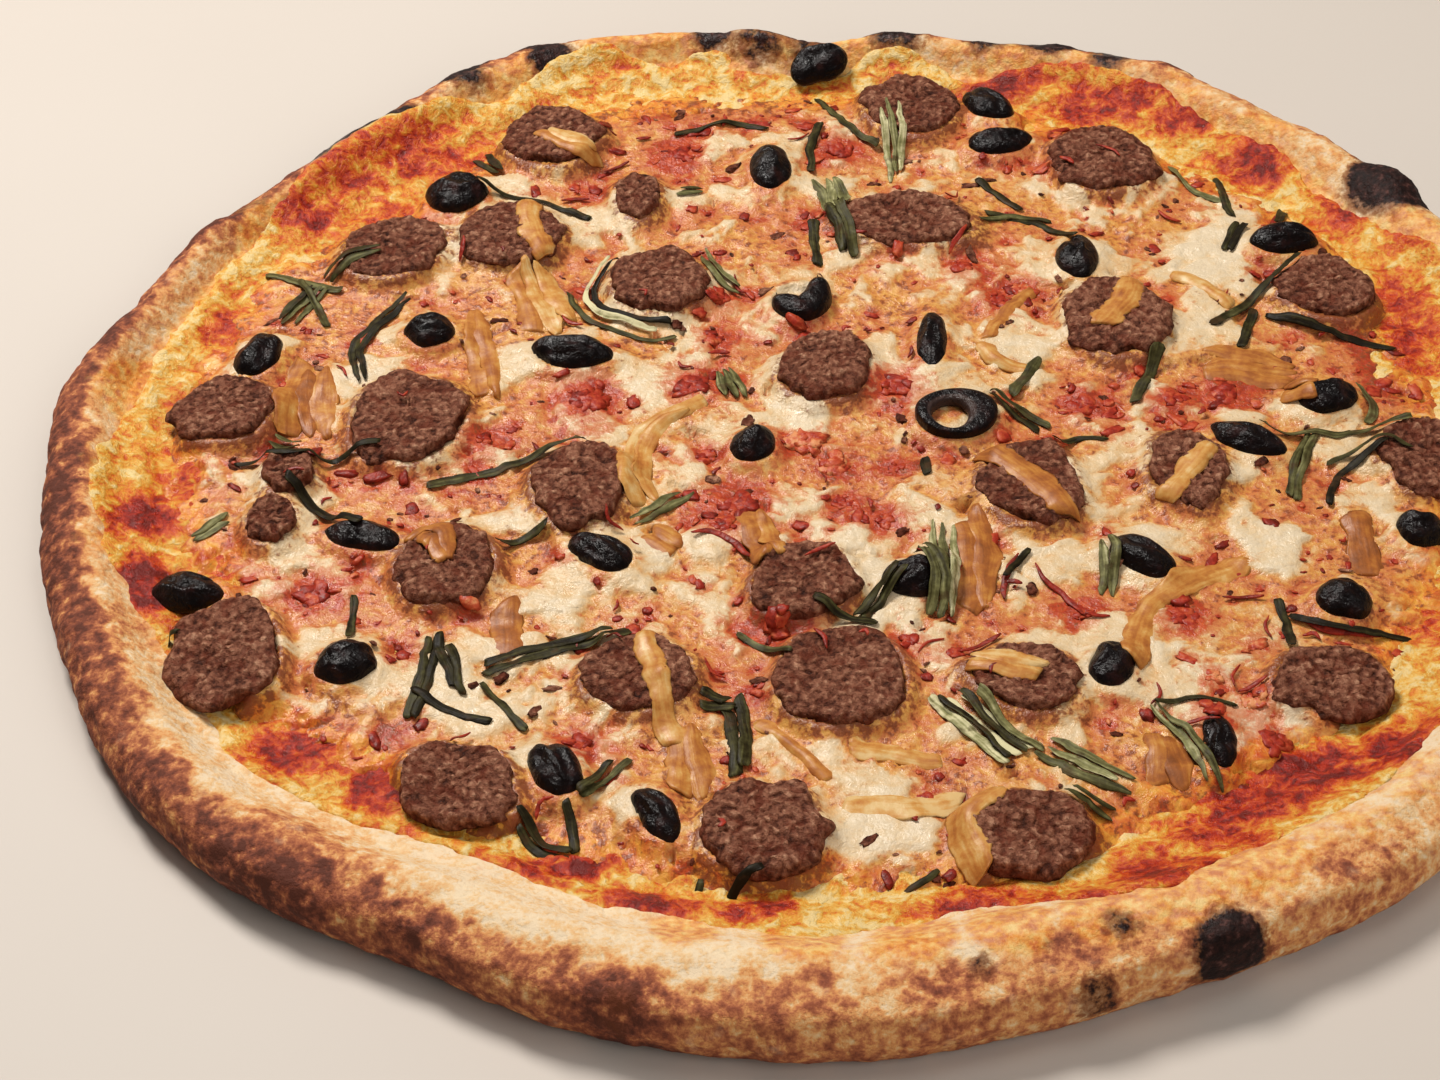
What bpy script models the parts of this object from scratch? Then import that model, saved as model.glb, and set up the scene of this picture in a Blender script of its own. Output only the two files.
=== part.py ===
"""A baked meat pizza, about 400 mm across and uncut.

The crust carries the sauce, the sauce carries the cheese, and the slices of
meat and the olives lie on top. Spring onion strips, soft onion and tomato are
fused to the cheese. Lengths are in millimetres and angles in degrees; MM turns
them into Blender's metres. +Z is up, the underside is at Z = 0, and the origin
is under the middle of the whole.
"""

import math

import bpy
import numpy as np
from mathutils import Vector
from mathutils.bvhtree import BVHTree

MM = 0.001

# Heights above the surface that the pizza lies on
FLOOR_TOP = 4.0
SAUCE_BASE = 4.3
SAUCE_TOP = 5.8
CHEESE_BASE = 6.1
CHEESE_EDGE = 7.0
CHEESE_TOP = 8.7
CHEESE_WAVE = 0.5
TOPPING_GAP = 0.45

# The rim: its height grows with its width
RIM_LOWEST = 11.0
RIM_RISE = 0.2
RIM_CREST_AT = 0.45
FOOT_INSET = 9.0

# How finely each round thing is cut
CRUST_SIDES = 104
SAUCE_SIDES = 72
CHEESE_SIDES = 64
CHEESE_RINGS = 9
MEAT_SIDES = 14
OLIVE_SIDES = 10
STRIP_STEP = 8.0

MEAT_THICK = 4.4
TOP_SWELL = 1.08
STRIP_DEPTH = 0.6
STRIP_PROUD = 1.2
DICE_PROUD = 1.5
STRIP_CLEARANCE = 1.8

# Outer radius every 10 degrees, counted from +X towards +Y
OUTLINE_RADII = (
    199, 198, 196, 194, 195.5, 195, 197, 191, 189, 185, 195, 202,
    200.5, 195, 193.5, 196, 197, 201.5, 199.5, 199, 199, 201, 202.5, 199.5,
    196, 199, 200, 200.5, 198, 196.5, 199, 201, 200, 198, 199, 200,
)  # fmt: skip
# Width of the raised rim every 30 degrees
RIM_WIDTHS = (26, 20, 20, 15, 20, 16, 22, 25, 31, 38, 35, 30)
# Radius that the cheese reaches every 15 degrees
CHEESE_RADII = (
    162, 163, 166, 163, 164, 166, 163, 170, 168, 160, 170, 172,
    168, 164, 171, 160, 157, 157, 155, 158, 155, 158, 160, 162,
)  # fmt: skip

# Bubbles and blisters baked into the rim: place, radius and height
BLISTERS = (
    (-135, 148, 9, 3.0),
    (-78, 190, 8, 1.5),
    (-10, 181, 10, 3.5),
    (32, 188, 12, 2.0),
    (78, 180, 8, 2.0),
    (110, 160, 8, 1.5),
    (168, 101, 9, 5.0),
    (-165, 97, 6, 1.5),
    (-128, -144, 14, 1.5),
    (-52, -187, 7, 1.2),
    (50, -190, 6, 1.2),
    (81, -184, 8, 3.5),
)

# Slices of meat: place, half sizes, and the turn of the first half size from +X
MEATS = (
    (-71, 139, 14, 16, 0),
    (-114, 88, 15, 14, 10),
    (-82, 92, 15, 13, 0),
    (33, 149, 14, 17, 0),
    (28, 92, 19, 11.5, -10),
    (-41, 67, 13, 14, 0),
    (-47, 108, 6.5, 10, 0),
    (85, 118, 15, 16, 0),
    (139, 54, 13.5, 13, 0),
    (-155, 19, 13.5, 12.5, 0),
    (-107, 12, 15.5, 18, 0),
    (-136, -7, 7, 8, 0),
    (-139, -26, 6.5, 8.5, 0),
    (-95, -45, 13, 14.5, 0),
    (-146, -74, 14.5, 17.5, 10),
    (-62, -17, 12.5, 15.5, 0),
    (2, 27, 12, 14, -30),
    (52, -22, 13, 16, 0),
    (-7, -55, 13, 13, 0),
    (1, -89, 16.5, 17, 0),
    (-47, -86, 13.5, 12.5, 0),
    (80, 45, 13.5, 16.5, 0),
    (91, -18, 10, 14, 0),
    (152, -16, 12.5, 14, 0),
    (116, -96, 14.5, 11.5, 0),
    (-89, -120, 15, 12, -30),
    (-20, -138, 14.5, 13.5, 0),
    (40, -142, 14, 12.5, 0),
    (44, -92, 14, 11, -20),
)

# Pieces of olive lying skin up: place, length, width and turn of the length
OLIVES = (
    (-98, 113, 17.5, 17, 0),
    (7, 170, 18, 12, 25),
    (55, 150, 18, 13, -60),
    (57, 129, 19, 12, 10),
    (-9, 120, 21, 12, 90),
    (73, 73, 20, 12, 90),
    (130, 77, 18, 14, 0),
    (-148, 42, 19, 12.5, 80),
    (-103, 50, 14, 13, 0),
    (-65, 38, 23, 13, -8),
    (-116, -32, 19.5, 11, -15),
    (-57, -42, 19, 12, -38),
    (-158, -49, 20, 13, -20),
    (-118, -78, 16, 14, 20),
    (31, 39, 23, 8.5, 85),
    (-18, -2, 14, 12, 80),
    (76, -50, 18, 12, -45),
    (20, -55, 15, 15, 0),
    (131, 9, 15, 13, 0),
    (108, -7, 21, 11.5, -30),
    (146, -43, 13, 12.5, 0),
    (123, -68, 14, 13.5, 0),
    (-67, -116, 19, 12, -65),
    (-44, -131, 18, 10, -65),
    (64, -88, 15, 11.5, 75),
    (86, -114, 17, 9, 90),
)
OLIVE_HEIGHT_SHARE = 0.5

# One olive ring lies flat, and one piece of ring is a crescent
RING_OLIVE = {
    "middle": (35, 6.5), "half_sizes": (11, 9.5),
    "hole": (33.2, 5.5), "hole_half_sizes": (4.2, 5.2), "height": 4.5,
}  # fmt: skip
CRESCENT_OLIVE = {
    "path": ((-9.5, 62), (-7.5, 56), (-2.5, 53.5), (1.5, 59), (2, 69)),
    "widths": (2.5, 7.5, 9, 7, 2.2), "height": 5.0,
}  # fmt: skip

# Spring onion strips and leaves: width, then the points they pass through
GREENS = (
    (4, (-148, 83), (-130, 72)),
    (6, (-132, 78), (-118, 84)),
    (8, (-142, 61), (-135, 72)),
    (2.5, (-89, 114), (-75, 108), (-60, 100)),
    (5, (-92, 137), (-85, 126)),
    (5, (-110, 68), (-118, 55), (-122, 45), (-120, 32)),
    (3, (-35, 143), (-22, 145), (-9, 144)),
    (7, (26, 147), (27, 130), (26, 116)),
    (3, (8, 159), (13, 145), (21, 132)),
    (3, (5, 142), (3, 131), (3, 120)),
    (9, (7, 114), (7, 102)),
    (6, (8, 101), (10, 88), (11, 79)),
    (4, (2, 95), (2, 77)),
    (3, (50, 111), (59, 99)),
    (3, (51, 97), (66, 91), (73, 82)),
    (4, (-28, 85), (-24, 71), (-18, 63)),
    (3, (-54, 76), (-58, 66), (-54, 56)),
    (5, (-35, 112), (-28, 112)),
    (3, (106, 117), (109, 105), (117, 99)),
    (3, (117, 111), (117, 92)),
    (4, (120, 88), (115, 75)),
    (3.5, (135, 101), (132, 90)),
    (6, (-142, 9), (-133, 2)),
    (2.5, (-149, -1), (-132, -2), (-115, 0)),
    (6, (-158, -28), (-151, -22)),
    (3.5, (-130, -18), (-118, -29)),
    (4, (-100, -11), (-82, -6), (-62, 2)),
    (3, (-80, -35), (-71, -31)),
    (3, (-117, -53), (-117, -66)),
    (5, (-100, -74), (-101, -96)),
    (5, (-92, -74), (-90, -88)),
    (5, (-87, -80), (-70, -74), (-50, -68)),
    (3, (-99, -88), (-83, -98)),
    (2.5, (-84, -86), (-75, -100)),
    (5, (-61, -123), (-52, -112)),
    (3, (-64, -129), (-62, -138)),
    (5, (-75, -130), (-64, -140)),
    (6.5, (-25, -94), (-25, -119)),
    (4, (22, -97), (36, -116)),
    (3.5, (28, -98), (41, -114)),
    (8, (46, -113), (55, -120), (63, -126)),
    (6, (51, -130), (60, -134)),
    (7, (28, -35), (27, -52), (26, -70)),
    (5, (6, -68), (16, -56)),
    (4, (-4, -66), (8, -70)),
    (2.5, (-23, -71), (-12, -81)),
    (4, (58, 29), (51, 17)),
    (4, (45, 15), (57, 3)),
    (3, (60, -5), (71, -3)),
    (7, (-23, 30), (-23, 20)),
    (5, (-50, -30), (-42, -24), (-35, -18)),
    (5, (69, -49), (67, -63)),
    (3, (48, -46), (43, -54)),
    (3.5, (107, 43), (120, 55), (131, 67)),
    (3, (117, 48), (113, 33)),
    (3, (121, 46), (130, 42), (152, 32)),
    (4, (89, 29), (82, 12)),
    (4.5, (125, -4), (117, -28)),
    (3, (113, -2), (131, -3), (149, -4)),
    (3, (140, -12), (130, -21), (125, -31)),
    (3, (107, -67), (108, -82)),
    (2.5, (110, -72), (117, -76), (142, -79)),
    (4, (73, -102), (80, -117), (83, -126)),
)

# Soft cooked onion, given in the same way
ONIONS = (
    (13, (-133, 42), (-133, 24), (-133, 8)),
    (7, (-90, 60), (-88, 40), (-87, 22)),
    (13, (-77, 77), (-72, 64), (-70, 50)),
    (6, (-79, -58), (-79, -74)),
    (7, (-30, 18), (-44, 8), (-47, -9), (-44, -28)),
    (8, (-17, -25), (-16, -46)),
    (8, (35, -30), (35, -48), (35, -65)),
    (4, (45, 37), (54, 27)),
    (8, (-44, -33), (-37, -39)),
    (12, (102, 27), (113, 26), (124, 22)),
    (6, (70, -85), (76, -67), (84, -60), (99, -51)),
    (6, (131, -36), (131, -56)),
    (8, (-36, -102), (-36, -114), (-36, -126)),
    (5, (2, -129), (13, -130), (24, -128)),
    (9, (74, -112), (74, -126)),
    (12, (-6, 3), (4, -9)),
)

# Diced tomato: place and radius
TOMATOES = (
    (-33, 25, 4.5), (-27, 45, 2.5), (-25, 62, 3), (-22, -23, 5), (-26, -31, 3.5),
    (-30, -3, 3), (20, 22, 5), (18, -10, 3), (14, -31, 3), (4, -23, 3),
    (68, 12, 4), (92, 13, 4), (105, 14, 3.5), (84, -70, 4), (-14, -69, 3.5),
    (60, -67, 3), (-60, 21, 5), (-127, -50, 4.5), (-35, 132, 4.5), (12, 131, 4),
    (42, 73, 4), (51, 57, 3.5), (-62, -106, 3), (99, -113, 4),
)  # fmt: skip


def between(values, degrees):
    """The smooth curve through values spread evenly round a circle, at one angle."""
    place = degrees / 360 * len(values)
    first = math.floor(place)
    share = place - first
    a, b, c, d = (values[(first + step) % len(values)] for step in (-1, 0, 1, 2))
    slope_b = (c - a) / 2
    slope_c = (d - b) / 2
    square = share * share
    cube = square * share
    return (
        (2 * cube - 3 * square + 1) * b
        + (cube - 2 * square + share) * slope_b
        + (3 * square - 2 * cube) * c
        + (cube - square) * slope_c
    )


def steady_random(a, b, seed):
    """The same number from -1 to 1 each time for the same three whole numbers."""
    mixed = (a * 374761393 + b * 668265263 + seed * 974711) & 0x7FFFFFFF
    mixed = ((mixed ^ (mixed >> 13)) * 1274126177) & 0x7FFFFFFF
    return ((mixed ^ (mixed >> 16)) & 0xFFFF) / 32767.5 - 1


def waves(x, y, cell, seed):
    """Smooth bumps from -1 to 1, about one cell across."""
    column = math.floor(x / cell)
    row = math.floor(y / cell)
    across = x / cell - column
    up = y / cell - row
    across = across * across * (3 - 2 * across)
    up = up * up * (3 - 2 * up)
    corners = [[steady_random(column + i, row + j, seed) for i in (0, 1)] for j in (0, 1)]
    low, high = (pair[0] * (1 - across) + pair[1] * across for pair in corners)
    return low * (1 - up) + high * up


def polar(radius, degrees, height):
    angle = math.radians(degrees)
    return (radius * math.cos(angle), radius * math.sin(angle), height)


def outline_middle():
    """The middle of the crust's box, which the origin is put under."""
    points = [polar(between(OUTLINE_RADII, step), step, 0) for step in range(360)]
    return [(max(p[k] for p in points) + min(p[k] for p in points)) / 2 for k in (0, 1)]


MIDDLE = outline_middle()


def material(name, colour, roughness):
    made = bpy.data.materials.new(name)
    made.use_nodes = True
    shader = made.node_tree.nodes["Principled BSDF"]
    shader.inputs["Base Color"].default_value = (*colour, 1)
    shader.inputs["Roughness"].default_value = roughness
    return made


def mesh_object(name, points, faces, finish):
    """An object whose mesh stands where the finished pizza stands."""
    mesh = bpy.data.meshes.new(name)
    places = [((x - MIDDLE[0]) * MM, (y - MIDDLE[1]) * MM, z * MM) for x, y, z in points]
    mesh.from_pydata(places, [], faces)
    mesh.materials.append(finish)
    mesh.shade_smooth()
    made = bpy.data.objects.new(name, mesh)
    bpy.context.collection.objects.link(made)
    return made


def ring_solid(name, rings, finish):
    """One closed body from rings of points, bottom to top. A ring of one point is a pole."""
    points = [point for ring in rings for point in ring]
    faces = []
    start = 0
    for ring, following in zip(rings, rings[1:]):
        after = start + len(ring)
        for i in range(max(len(ring), len(following))):
            j = (i + 1) % max(len(ring), len(following))
            if len(ring) == 1:
                faces.append((start, after + j, after + i))
            elif len(following) == 1:
                faces.append((start + i, start + j, after))
            else:
                faces.append((start + i, start + j, after + j))
                faces.append((start + i, after + j, after + i))
        start = after
    return mesh_object(name, points, faces, finish)


def rim_width(degrees):
    return between(RIM_WIDTHS, degrees)


def rim_section(degrees):
    """Radius and height of the crust's surface, from the underside up over the rim and in."""
    outer = between(OUTLINE_RADII, degrees)
    width = rim_width(degrees)
    crest = RIM_LOWEST + RIM_RISE * width
    section = [
        (outer - FOOT_INSET, 0),
        (outer - 4.2, 0.8),
        (outer - 1.1, 3.6),
        (outer, 0.45 * crest),
        (outer - 0.7, 0.66 * crest),
        (outer - 3.2, 0.86 * crest),
        (outer - 0.28 * width - 1, 0.97 * crest),
        (outer - RIM_CREST_AT * width, crest),
    ]
    for share in (0.25, 0.5, 0.75, 1.0):
        inward = RIM_CREST_AT + (1 - RIM_CREST_AT) * share
        drop = (1 - math.cos(math.pi * share)) / 2
        section.append((outer - inward * width, crest - (crest - FLOOR_TOP) * drop))
    return section


def blistered(point):
    """The point pushed up and outward where a blister has risen."""
    x, y, z = point
    length = math.hypot(x, y)
    for blister_x, blister_y, radius, height in BLISTERS:
        nearness = math.exp(-((x - blister_x) ** 2 + (y - blister_y) ** 2) / radius**2)
        z += 0.75 * height * nearness
        x += 0.35 * height * nearness * x / length
        y += 0.35 * height * nearness * y / length
    return (x, y, z)


def make_crust(finish):
    angles = [360 * i / CRUST_SIDES for i in range(CRUST_SIDES)]
    sections = [rim_section(angle) for angle in angles]
    rings = [[(0, 0, 0)]]
    for k in range(len(sections[0])):
        ring = []
        for angle, section in zip(angles, sections):
            radius, height = section[k]
            point = polar(radius, angle, height)
            if height > FLOOR_TOP:
                lump = waves(point[0], point[1], 17, 3)
                point = blistered((point[0], point[1], height + 0.9 * lump))
            ring.append(point)
        rings.append(ring)
    rings.append([(0, 0, FLOOR_TOP)])
    return ring_solid("crust", rings, finish)


def make_sauce(finish):
    angles = [360 * i / SAUCE_SIDES for i in range(SAUCE_SIDES)]
    edges = [
        between(OUTLINE_RADII, angle) - rim_width(angle) - 1.6 + 0.9 * waves(angle, 0, 9, 5)
        for angle in angles
    ]
    rings = [
        [(0, 0, SAUCE_BASE)],
        [polar(edge - 0.8, angle, SAUCE_BASE) for angle, edge in zip(angles, edges)],
        [polar(edge, angle, SAUCE_BASE + 0.6) for angle, edge in zip(angles, edges)],
        [polar(edge - 1.6, angle, SAUCE_TOP) for angle, edge in zip(angles, edges)],
        [(0, 0, SAUCE_TOP)],
    ]
    return ring_solid("tomato_sauce", rings, finish)


def cheese_reach(degrees):
    inside_rim = between(OUTLINE_RADII, degrees) - rim_width(degrees) - 4
    ragged = between(CHEESE_RADII, degrees) + 2.2 * waves(degrees, 0, 7, 11)
    return min(ragged, inside_rim)


def make_cheese_core(finish):
    angles = [360 * i / CHEESE_SIDES for i in range(CHEESE_SIDES)]
    rings = [[(0, 0, CHEESE_BASE)], [polar(cheese_reach(a), a, CHEESE_BASE) for a in angles]]
    for k in range(CHEESE_RINGS):
        share = 1 - k / CHEESE_RINGS
        ring = []
        for angle in angles:
            x, y, _ = polar(cheese_reach(angle) * share, angle, 0)
            edge_drop = (CHEESE_TOP - CHEESE_EDGE) if k == 0 else 0
            ring.append((x, y, CHEESE_TOP - edge_drop + CHEESE_WAVE * waves(x, y, 26, 7)))
        rings.append(ring)
    rings.append([(0, 0, CHEESE_TOP)])
    return ring_solid("cheese", rings, finish)


def surface_of(made):
    mesh = made.data
    places = [vertex.co for vertex in mesh.vertices]
    return BVHTree.FromPolygons(places, [tuple(face.vertices) for face in mesh.polygons])


def height_on(surfaces, x, y):
    """The highest of these surfaces at one place, in millimetres."""
    start = Vector(((x - MIDDLE[0]) * MM, (y - MIDDLE[1]) * MM, 0.1))
    found = [surface.ray_cast(start, Vector((0, 0, -1)))[0] for surface in surfaces]
    return max(hit.z for hit in found if hit) / MM


def turned(x, y, middle, degrees):
    """A point of a topping's own plan, turned and put in its place."""
    angle = math.radians(degrees)
    return (
        middle[0] + x * math.cos(angle) - y * math.sin(angle),
        middle[1] + x * math.sin(angle) + y * math.cos(angle),
    )


def resting_plane(plan, surfaces):
    """The tilted plane on which a stiff piece of this outline lies: its height at any place."""
    middle_x = sum(x for x, y in plan) / len(plan)
    middle_y = sum(y for x, y in plan) / len(plan)
    places = []
    for share in (0, 0.35, 0.7, 1.04):
        for x, y in plan:
            places.append((middle_x + (x - middle_x) * share, middle_y + (y - middle_y) * share))
    heights = np.array([height_on(surfaces, x, y) for x, y in places])
    rows = np.array([(x, y, 1) for x, y in places])
    slope_x, slope_y, level = np.linalg.lstsq(rows, heights, rcond=None)[0]
    level += (heights - rows @ (slope_x, slope_y, level)).max() + TOPPING_GAP

    def height(x, y):
        return slope_x * x + slope_y * y + level

    return height


def lying_solid(name, plan, levels, surfaces, finish):
    """A topping from its plan outline. Each level is (share of the plan, height above its underside)."""
    middle_x = sum(x for x, y in plan) / len(plan)
    middle_y = sum(y for x, y in plan) / len(plan)
    underside = resting_plane(plan, surfaces)
    rings = [[(middle_x, middle_y, underside(middle_x, middle_y))]]
    for share, height in levels:
        ring = []
        for x, y in plan:
            place = (middle_x + (x - middle_x) * share, middle_y + (y - middle_y) * share)
            ring.append((*place, underside(*place) + height))
        rings.append(ring)
    top = underside(middle_x, middle_y) + levels[-1][1] * TOP_SWELL
    rings.append([(middle_x, middle_y, top)])
    return ring_solid(name, rings, finish)


def meat_plan(number, x, y, half_x, half_y, turn):
    plan = []
    for i in range(MEAT_SIDES):
        angle = 2 * math.pi * i / MEAT_SIDES
        ragged = 1 + 0.08 * steady_random(number, i, 21)
        across = half_x * ragged * math.cos(angle)
        along = half_y * ragged * math.sin(angle)
        plan.append(turned(across, along, (x, y), turn))
    return plan


def make_meats(surfaces, finish):
    for number, (x, y, half_x, half_y, turn) in enumerate(MEATS, 1):
        plan = meat_plan(number, x, y, half_x, half_y, turn)
        thick = MEAT_THICK * (1 + 0.12 * steady_random(number, 0, 22))
        levels = ((0.86, 0), (1.0, 0.45 * thick), (0.84, 0.92 * thick), (0.45, thick))
        lying_solid(f"meat_{number:02d}", plan, levels, surfaces, finish)


def make_olives(surfaces, finish):
    for number, (x, y, length, width, turn) in enumerate(OLIVES, 1):
        plan = []
        for i in range(OLIVE_SIDES):
            angle = 2 * math.pi * i / OLIVE_SIDES
            uneven = 1 + 0.06 * steady_random(number, i, 31)
            along = length / 2 * uneven * math.cos(angle)
            across = width / 2 * uneven * math.sin(angle)
            plan.append(turned(along, across, (x, y), turn))
        height = OLIVE_HEIGHT_SHARE * width
        levels = ((0.88, 0), (1.0, 0.28 * height), (0.7, 0.8 * height))
        lying_solid(f"olive_{number:02d}", plan, levels, surfaces, finish)


def make_ring_olive(name, surfaces, finish):
    """A slice across an olive, with its hole."""
    outside = (RING_OLIVE["middle"], RING_OLIVE["half_sizes"])
    hole = (RING_OLIVE["hole"], RING_OLIVE["hole_half_sizes"])
    height = RING_OLIVE["height"]
    sides = OLIVE_SIDES + 2

    def oval(middle, half_sizes, share=1.0):
        angles = [2 * math.pi * i / sides for i in range(sides)]
        return [
            (middle[0] + half_sizes[0] * share * math.cos(a), middle[1] + half_sizes[1] * share * math.sin(a))
            for a in angles
        ]

    underside = resting_plane(oval(*outside), surfaces)
    section = ((outside, 0.9, 0), (outside, 1.0, 0.5), (outside, 0.86, 1.0), (hole, 1.1, 1.0), (hole, 1.1, 0))
    loops = [
        [(x, y, underside(x, y) + level * height) for x, y in oval(*shape, share)]
        for shape, share, level in section
    ]
    return closed_loops(name, loops, finish)


def closed_loops(name, loops, finish):
    """A solid ring from loops that go once round its section."""
    count = len(loops[0])
    points = [point for loop in loops for point in loop]
    faces = []
    for k in range(len(loops)):
        following = (k + 1) % len(loops)
        for i in range(count):
            j = (i + 1) % count
            faces.append((k * count + i, k * count + j, following * count + j))
            faces.append((k * count + i, following * count + j, following * count + i))
    return mesh_object(name, points, faces, finish)


def curve_points(controls, step):
    """Points about one step apart on the smooth curve through the controls."""
    points = []
    padded = (controls[0], *controls, controls[-1])
    for a, b, c, d in zip(padded, padded[1:], padded[2:], padded[3:]):
        pieces = max(1, round(math.dist(b, c) / step))
        for i in range(pieces):
            t = i / pieces
            place = []
            for p, q, r, s in zip(a, b, c, d):
                first = (r - p) * t
                second = (2 * p - 5 * q + 4 * r - s) * t**2
                third = (3 * q - p - 3 * r + s) * t**3
                place.append(0.5 * (2 * q + first + second + third))
            points.append(tuple(place))
    points.append(controls[-1])
    return points


def sideways(points, i):
    """The unit vector to the left of a path at one of its points."""
    before = points[max(i - 1, 0)]
    after = points[min(i + 1, len(points) - 1)]
    length = math.dist(before, after)
    return (-(after[1] - before[1]) / length, (after[0] - before[0]) / length)


def swept_solid(name, points, widths, underside, upper, finish):
    """A strip along a path. underside and upper give its heights at a place."""
    corners = []
    for i, ((x, y), width) in enumerate(zip(points, widths)):
        left = sideways(points, i)
        right_place = (x - left[0] * width / 2, y - left[1] * width / 2)
        left_place = (x + left[0] * width / 2, y + left[1] * width / 2)
        corners.append((*right_place, underside(*right_place)))
        corners.append((*left_place, underside(*left_place)))
        corners.append((*left_place, upper(*left_place)))
        corners.append((*right_place, upper(*right_place)))
    faces = [(0, 2, 1), (0, 3, 2)]
    for station in range(len(points) - 1):
        base = 4 * station
        for side in range(4):
            following = (side + 1) % 4
            faces.append((base + side, base + following, base + 4 + following))
            faces.append((base + side, base + 4 + following, base + 4 + side))
    last = 4 * (len(points) - 1)
    faces += [(last, last + 1, last + 2), (last, last + 2, last + 3)]
    return mesh_object(name, corners, faces, finish)


def make_crescent_olive(name, surfaces, finish):
    path = CRESCENT_OLIVE["path"]
    underside = resting_plane(path, surfaces)

    def upper(x, y):
        return underside(x, y) + CRESCENT_OLIVE["height"]

    return swept_solid(name, path, CRESCENT_OLIVE["widths"], underside, upper, finish)


def topping_plans():
    """Middle, half sizes and turn of everything that lies on the cheese as its own piece."""
    plans = [((x, y), (half_x, half_y), turn) for x, y, half_x, half_y, turn in MEATS]
    plans += [((x, y), (length / 2, width / 2), turn) for x, y, length, width, turn in OLIVES]
    plans.append((RING_OLIVE["middle"], RING_OLIVE["half_sizes"], 0))
    for place, width in zip(CRESCENT_OLIVE["path"], CRESCENT_OLIVE["widths"]):
        plans.append((place, (width / 2 + 1, width / 2 + 1), 0))
    return plans


def is_clear(place, room, plans):
    """Whether a place on the cheese has this much room to every topping and to the edge."""
    reach = cheese_reach(math.degrees(math.atan2(place[1], place[0])) % 360)
    if math.hypot(*place) > reach - room - 2:
        return False
    for middle, half_sizes, turn in plans:
        angle = math.radians(-turn)
        dx = place[0] - middle[0]
        dy = place[1] - middle[1]
        along = (dx * math.cos(angle) - dy * math.sin(angle)) / (half_sizes[0] * 1.08 + room)
        across = (dx * math.sin(angle) + dy * math.cos(angle)) / (half_sizes[1] * 1.08 + room)
        if along**2 + across**2 < 1:
            return False
    return True


def clear_runs(controls, width, plans):
    """The stretches of a strip's path that no topping covers."""
    runs = [[]]
    for place in curve_points(controls, 1.5):
        if is_clear(place, width / 2 + STRIP_CLEARANCE, plans):
            runs[-1].append(place)
        elif runs[-1]:
            runs.append([])
    return [run for run in runs if len(run) > 1 and math.dist(run[0], run[-1]) > 4.5]


def make_strips(core, plans, finish):
    """Every strip of spring onion and of soft onion, let a little way into the cheese."""
    surface = [surface_of(core)]

    def underside(x, y):
        return height_on(surface, x, y) - STRIP_DEPTH

    made = []
    for number, (width, *controls) in enumerate(GREENS + ONIONS):
        for run in clear_runs(controls, width, plans):
            length = sum(math.dist(a, b) for a, b in zip(run, run[1:]))
            stations = max(3, round(length / STRIP_STEP) + 1)
            picked = [run[round(i * (len(run) - 1) / (stations - 1))] for i in range(stations)]
            widths = [width * (0.45 if i in (0, stations - 1) else 1) for i in range(stations)]
            rise = STRIP_PROUD * (1 + 0.2 * steady_random(number, len(made), 41))

            def upper(x, y, rise=rise):
                return underside(x, y) + STRIP_DEPTH + rise + 0.3 * waves(x, y, 8, 43)

            made.append(swept_solid(f"strip_{len(made)}", picked, widths, underside, upper, finish))
    return made


def make_dice(core, plans, finish):
    """Low six-sided lumps of tomato, let a little way into the cheese."""
    surface = [surface_of(core)]
    made = []
    for number, (x, y, radius) in enumerate(TOMATOES):
        if not is_clear((x, y), radius + 1, plans):
            continue
        rings = []
        for share, height in ((1, -STRIP_DEPTH), (0.8, DICE_PROUD)):
            ring = []
            for i in range(6):
                angle = math.pi * i / 3 + number
                reach = radius * share * (1 + 0.15 * steady_random(number, i, 51))
                place = (x + reach * math.cos(angle), y + reach * math.sin(angle))
                ring.append((*place, height_on(surface, *place) + height))
            rings.append(ring)
        middle = height_on(surface, x, y)
        low = [(x, y, middle - STRIP_DEPTH)]
        high = [(x, y, middle + DICE_PROUD + 0.3)]
        made.append(ring_solid(f"dice_{number}", [low, *rings, high], finish))
    return made


def fuse(core, pieces):
    """One Boolean union of the cheese with everything that is stuck to it."""
    group = bpy.data.collections.new("fused")
    bpy.context.scene.collection.children.link(group)
    for piece in pieces:
        bpy.context.collection.objects.unlink(piece)
        group.objects.link(piece)
    union = core.modifiers.new("union", "BOOLEAN")
    union.operation = "UNION"
    union.operand_type = "COLLECTION"
    union.collection = group
    union.solver = "EXACT"
    bpy.context.view_layer.update()
    graph = bpy.context.evaluated_depsgraph_get()
    joined = bpy.data.meshes.new_from_object(core.evaluated_get(graph))
    core.modifiers.clear()
    core.data = joined
    for piece in pieces:
        bpy.data.objects.remove(piece)
    bpy.data.collections.remove(group)


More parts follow.
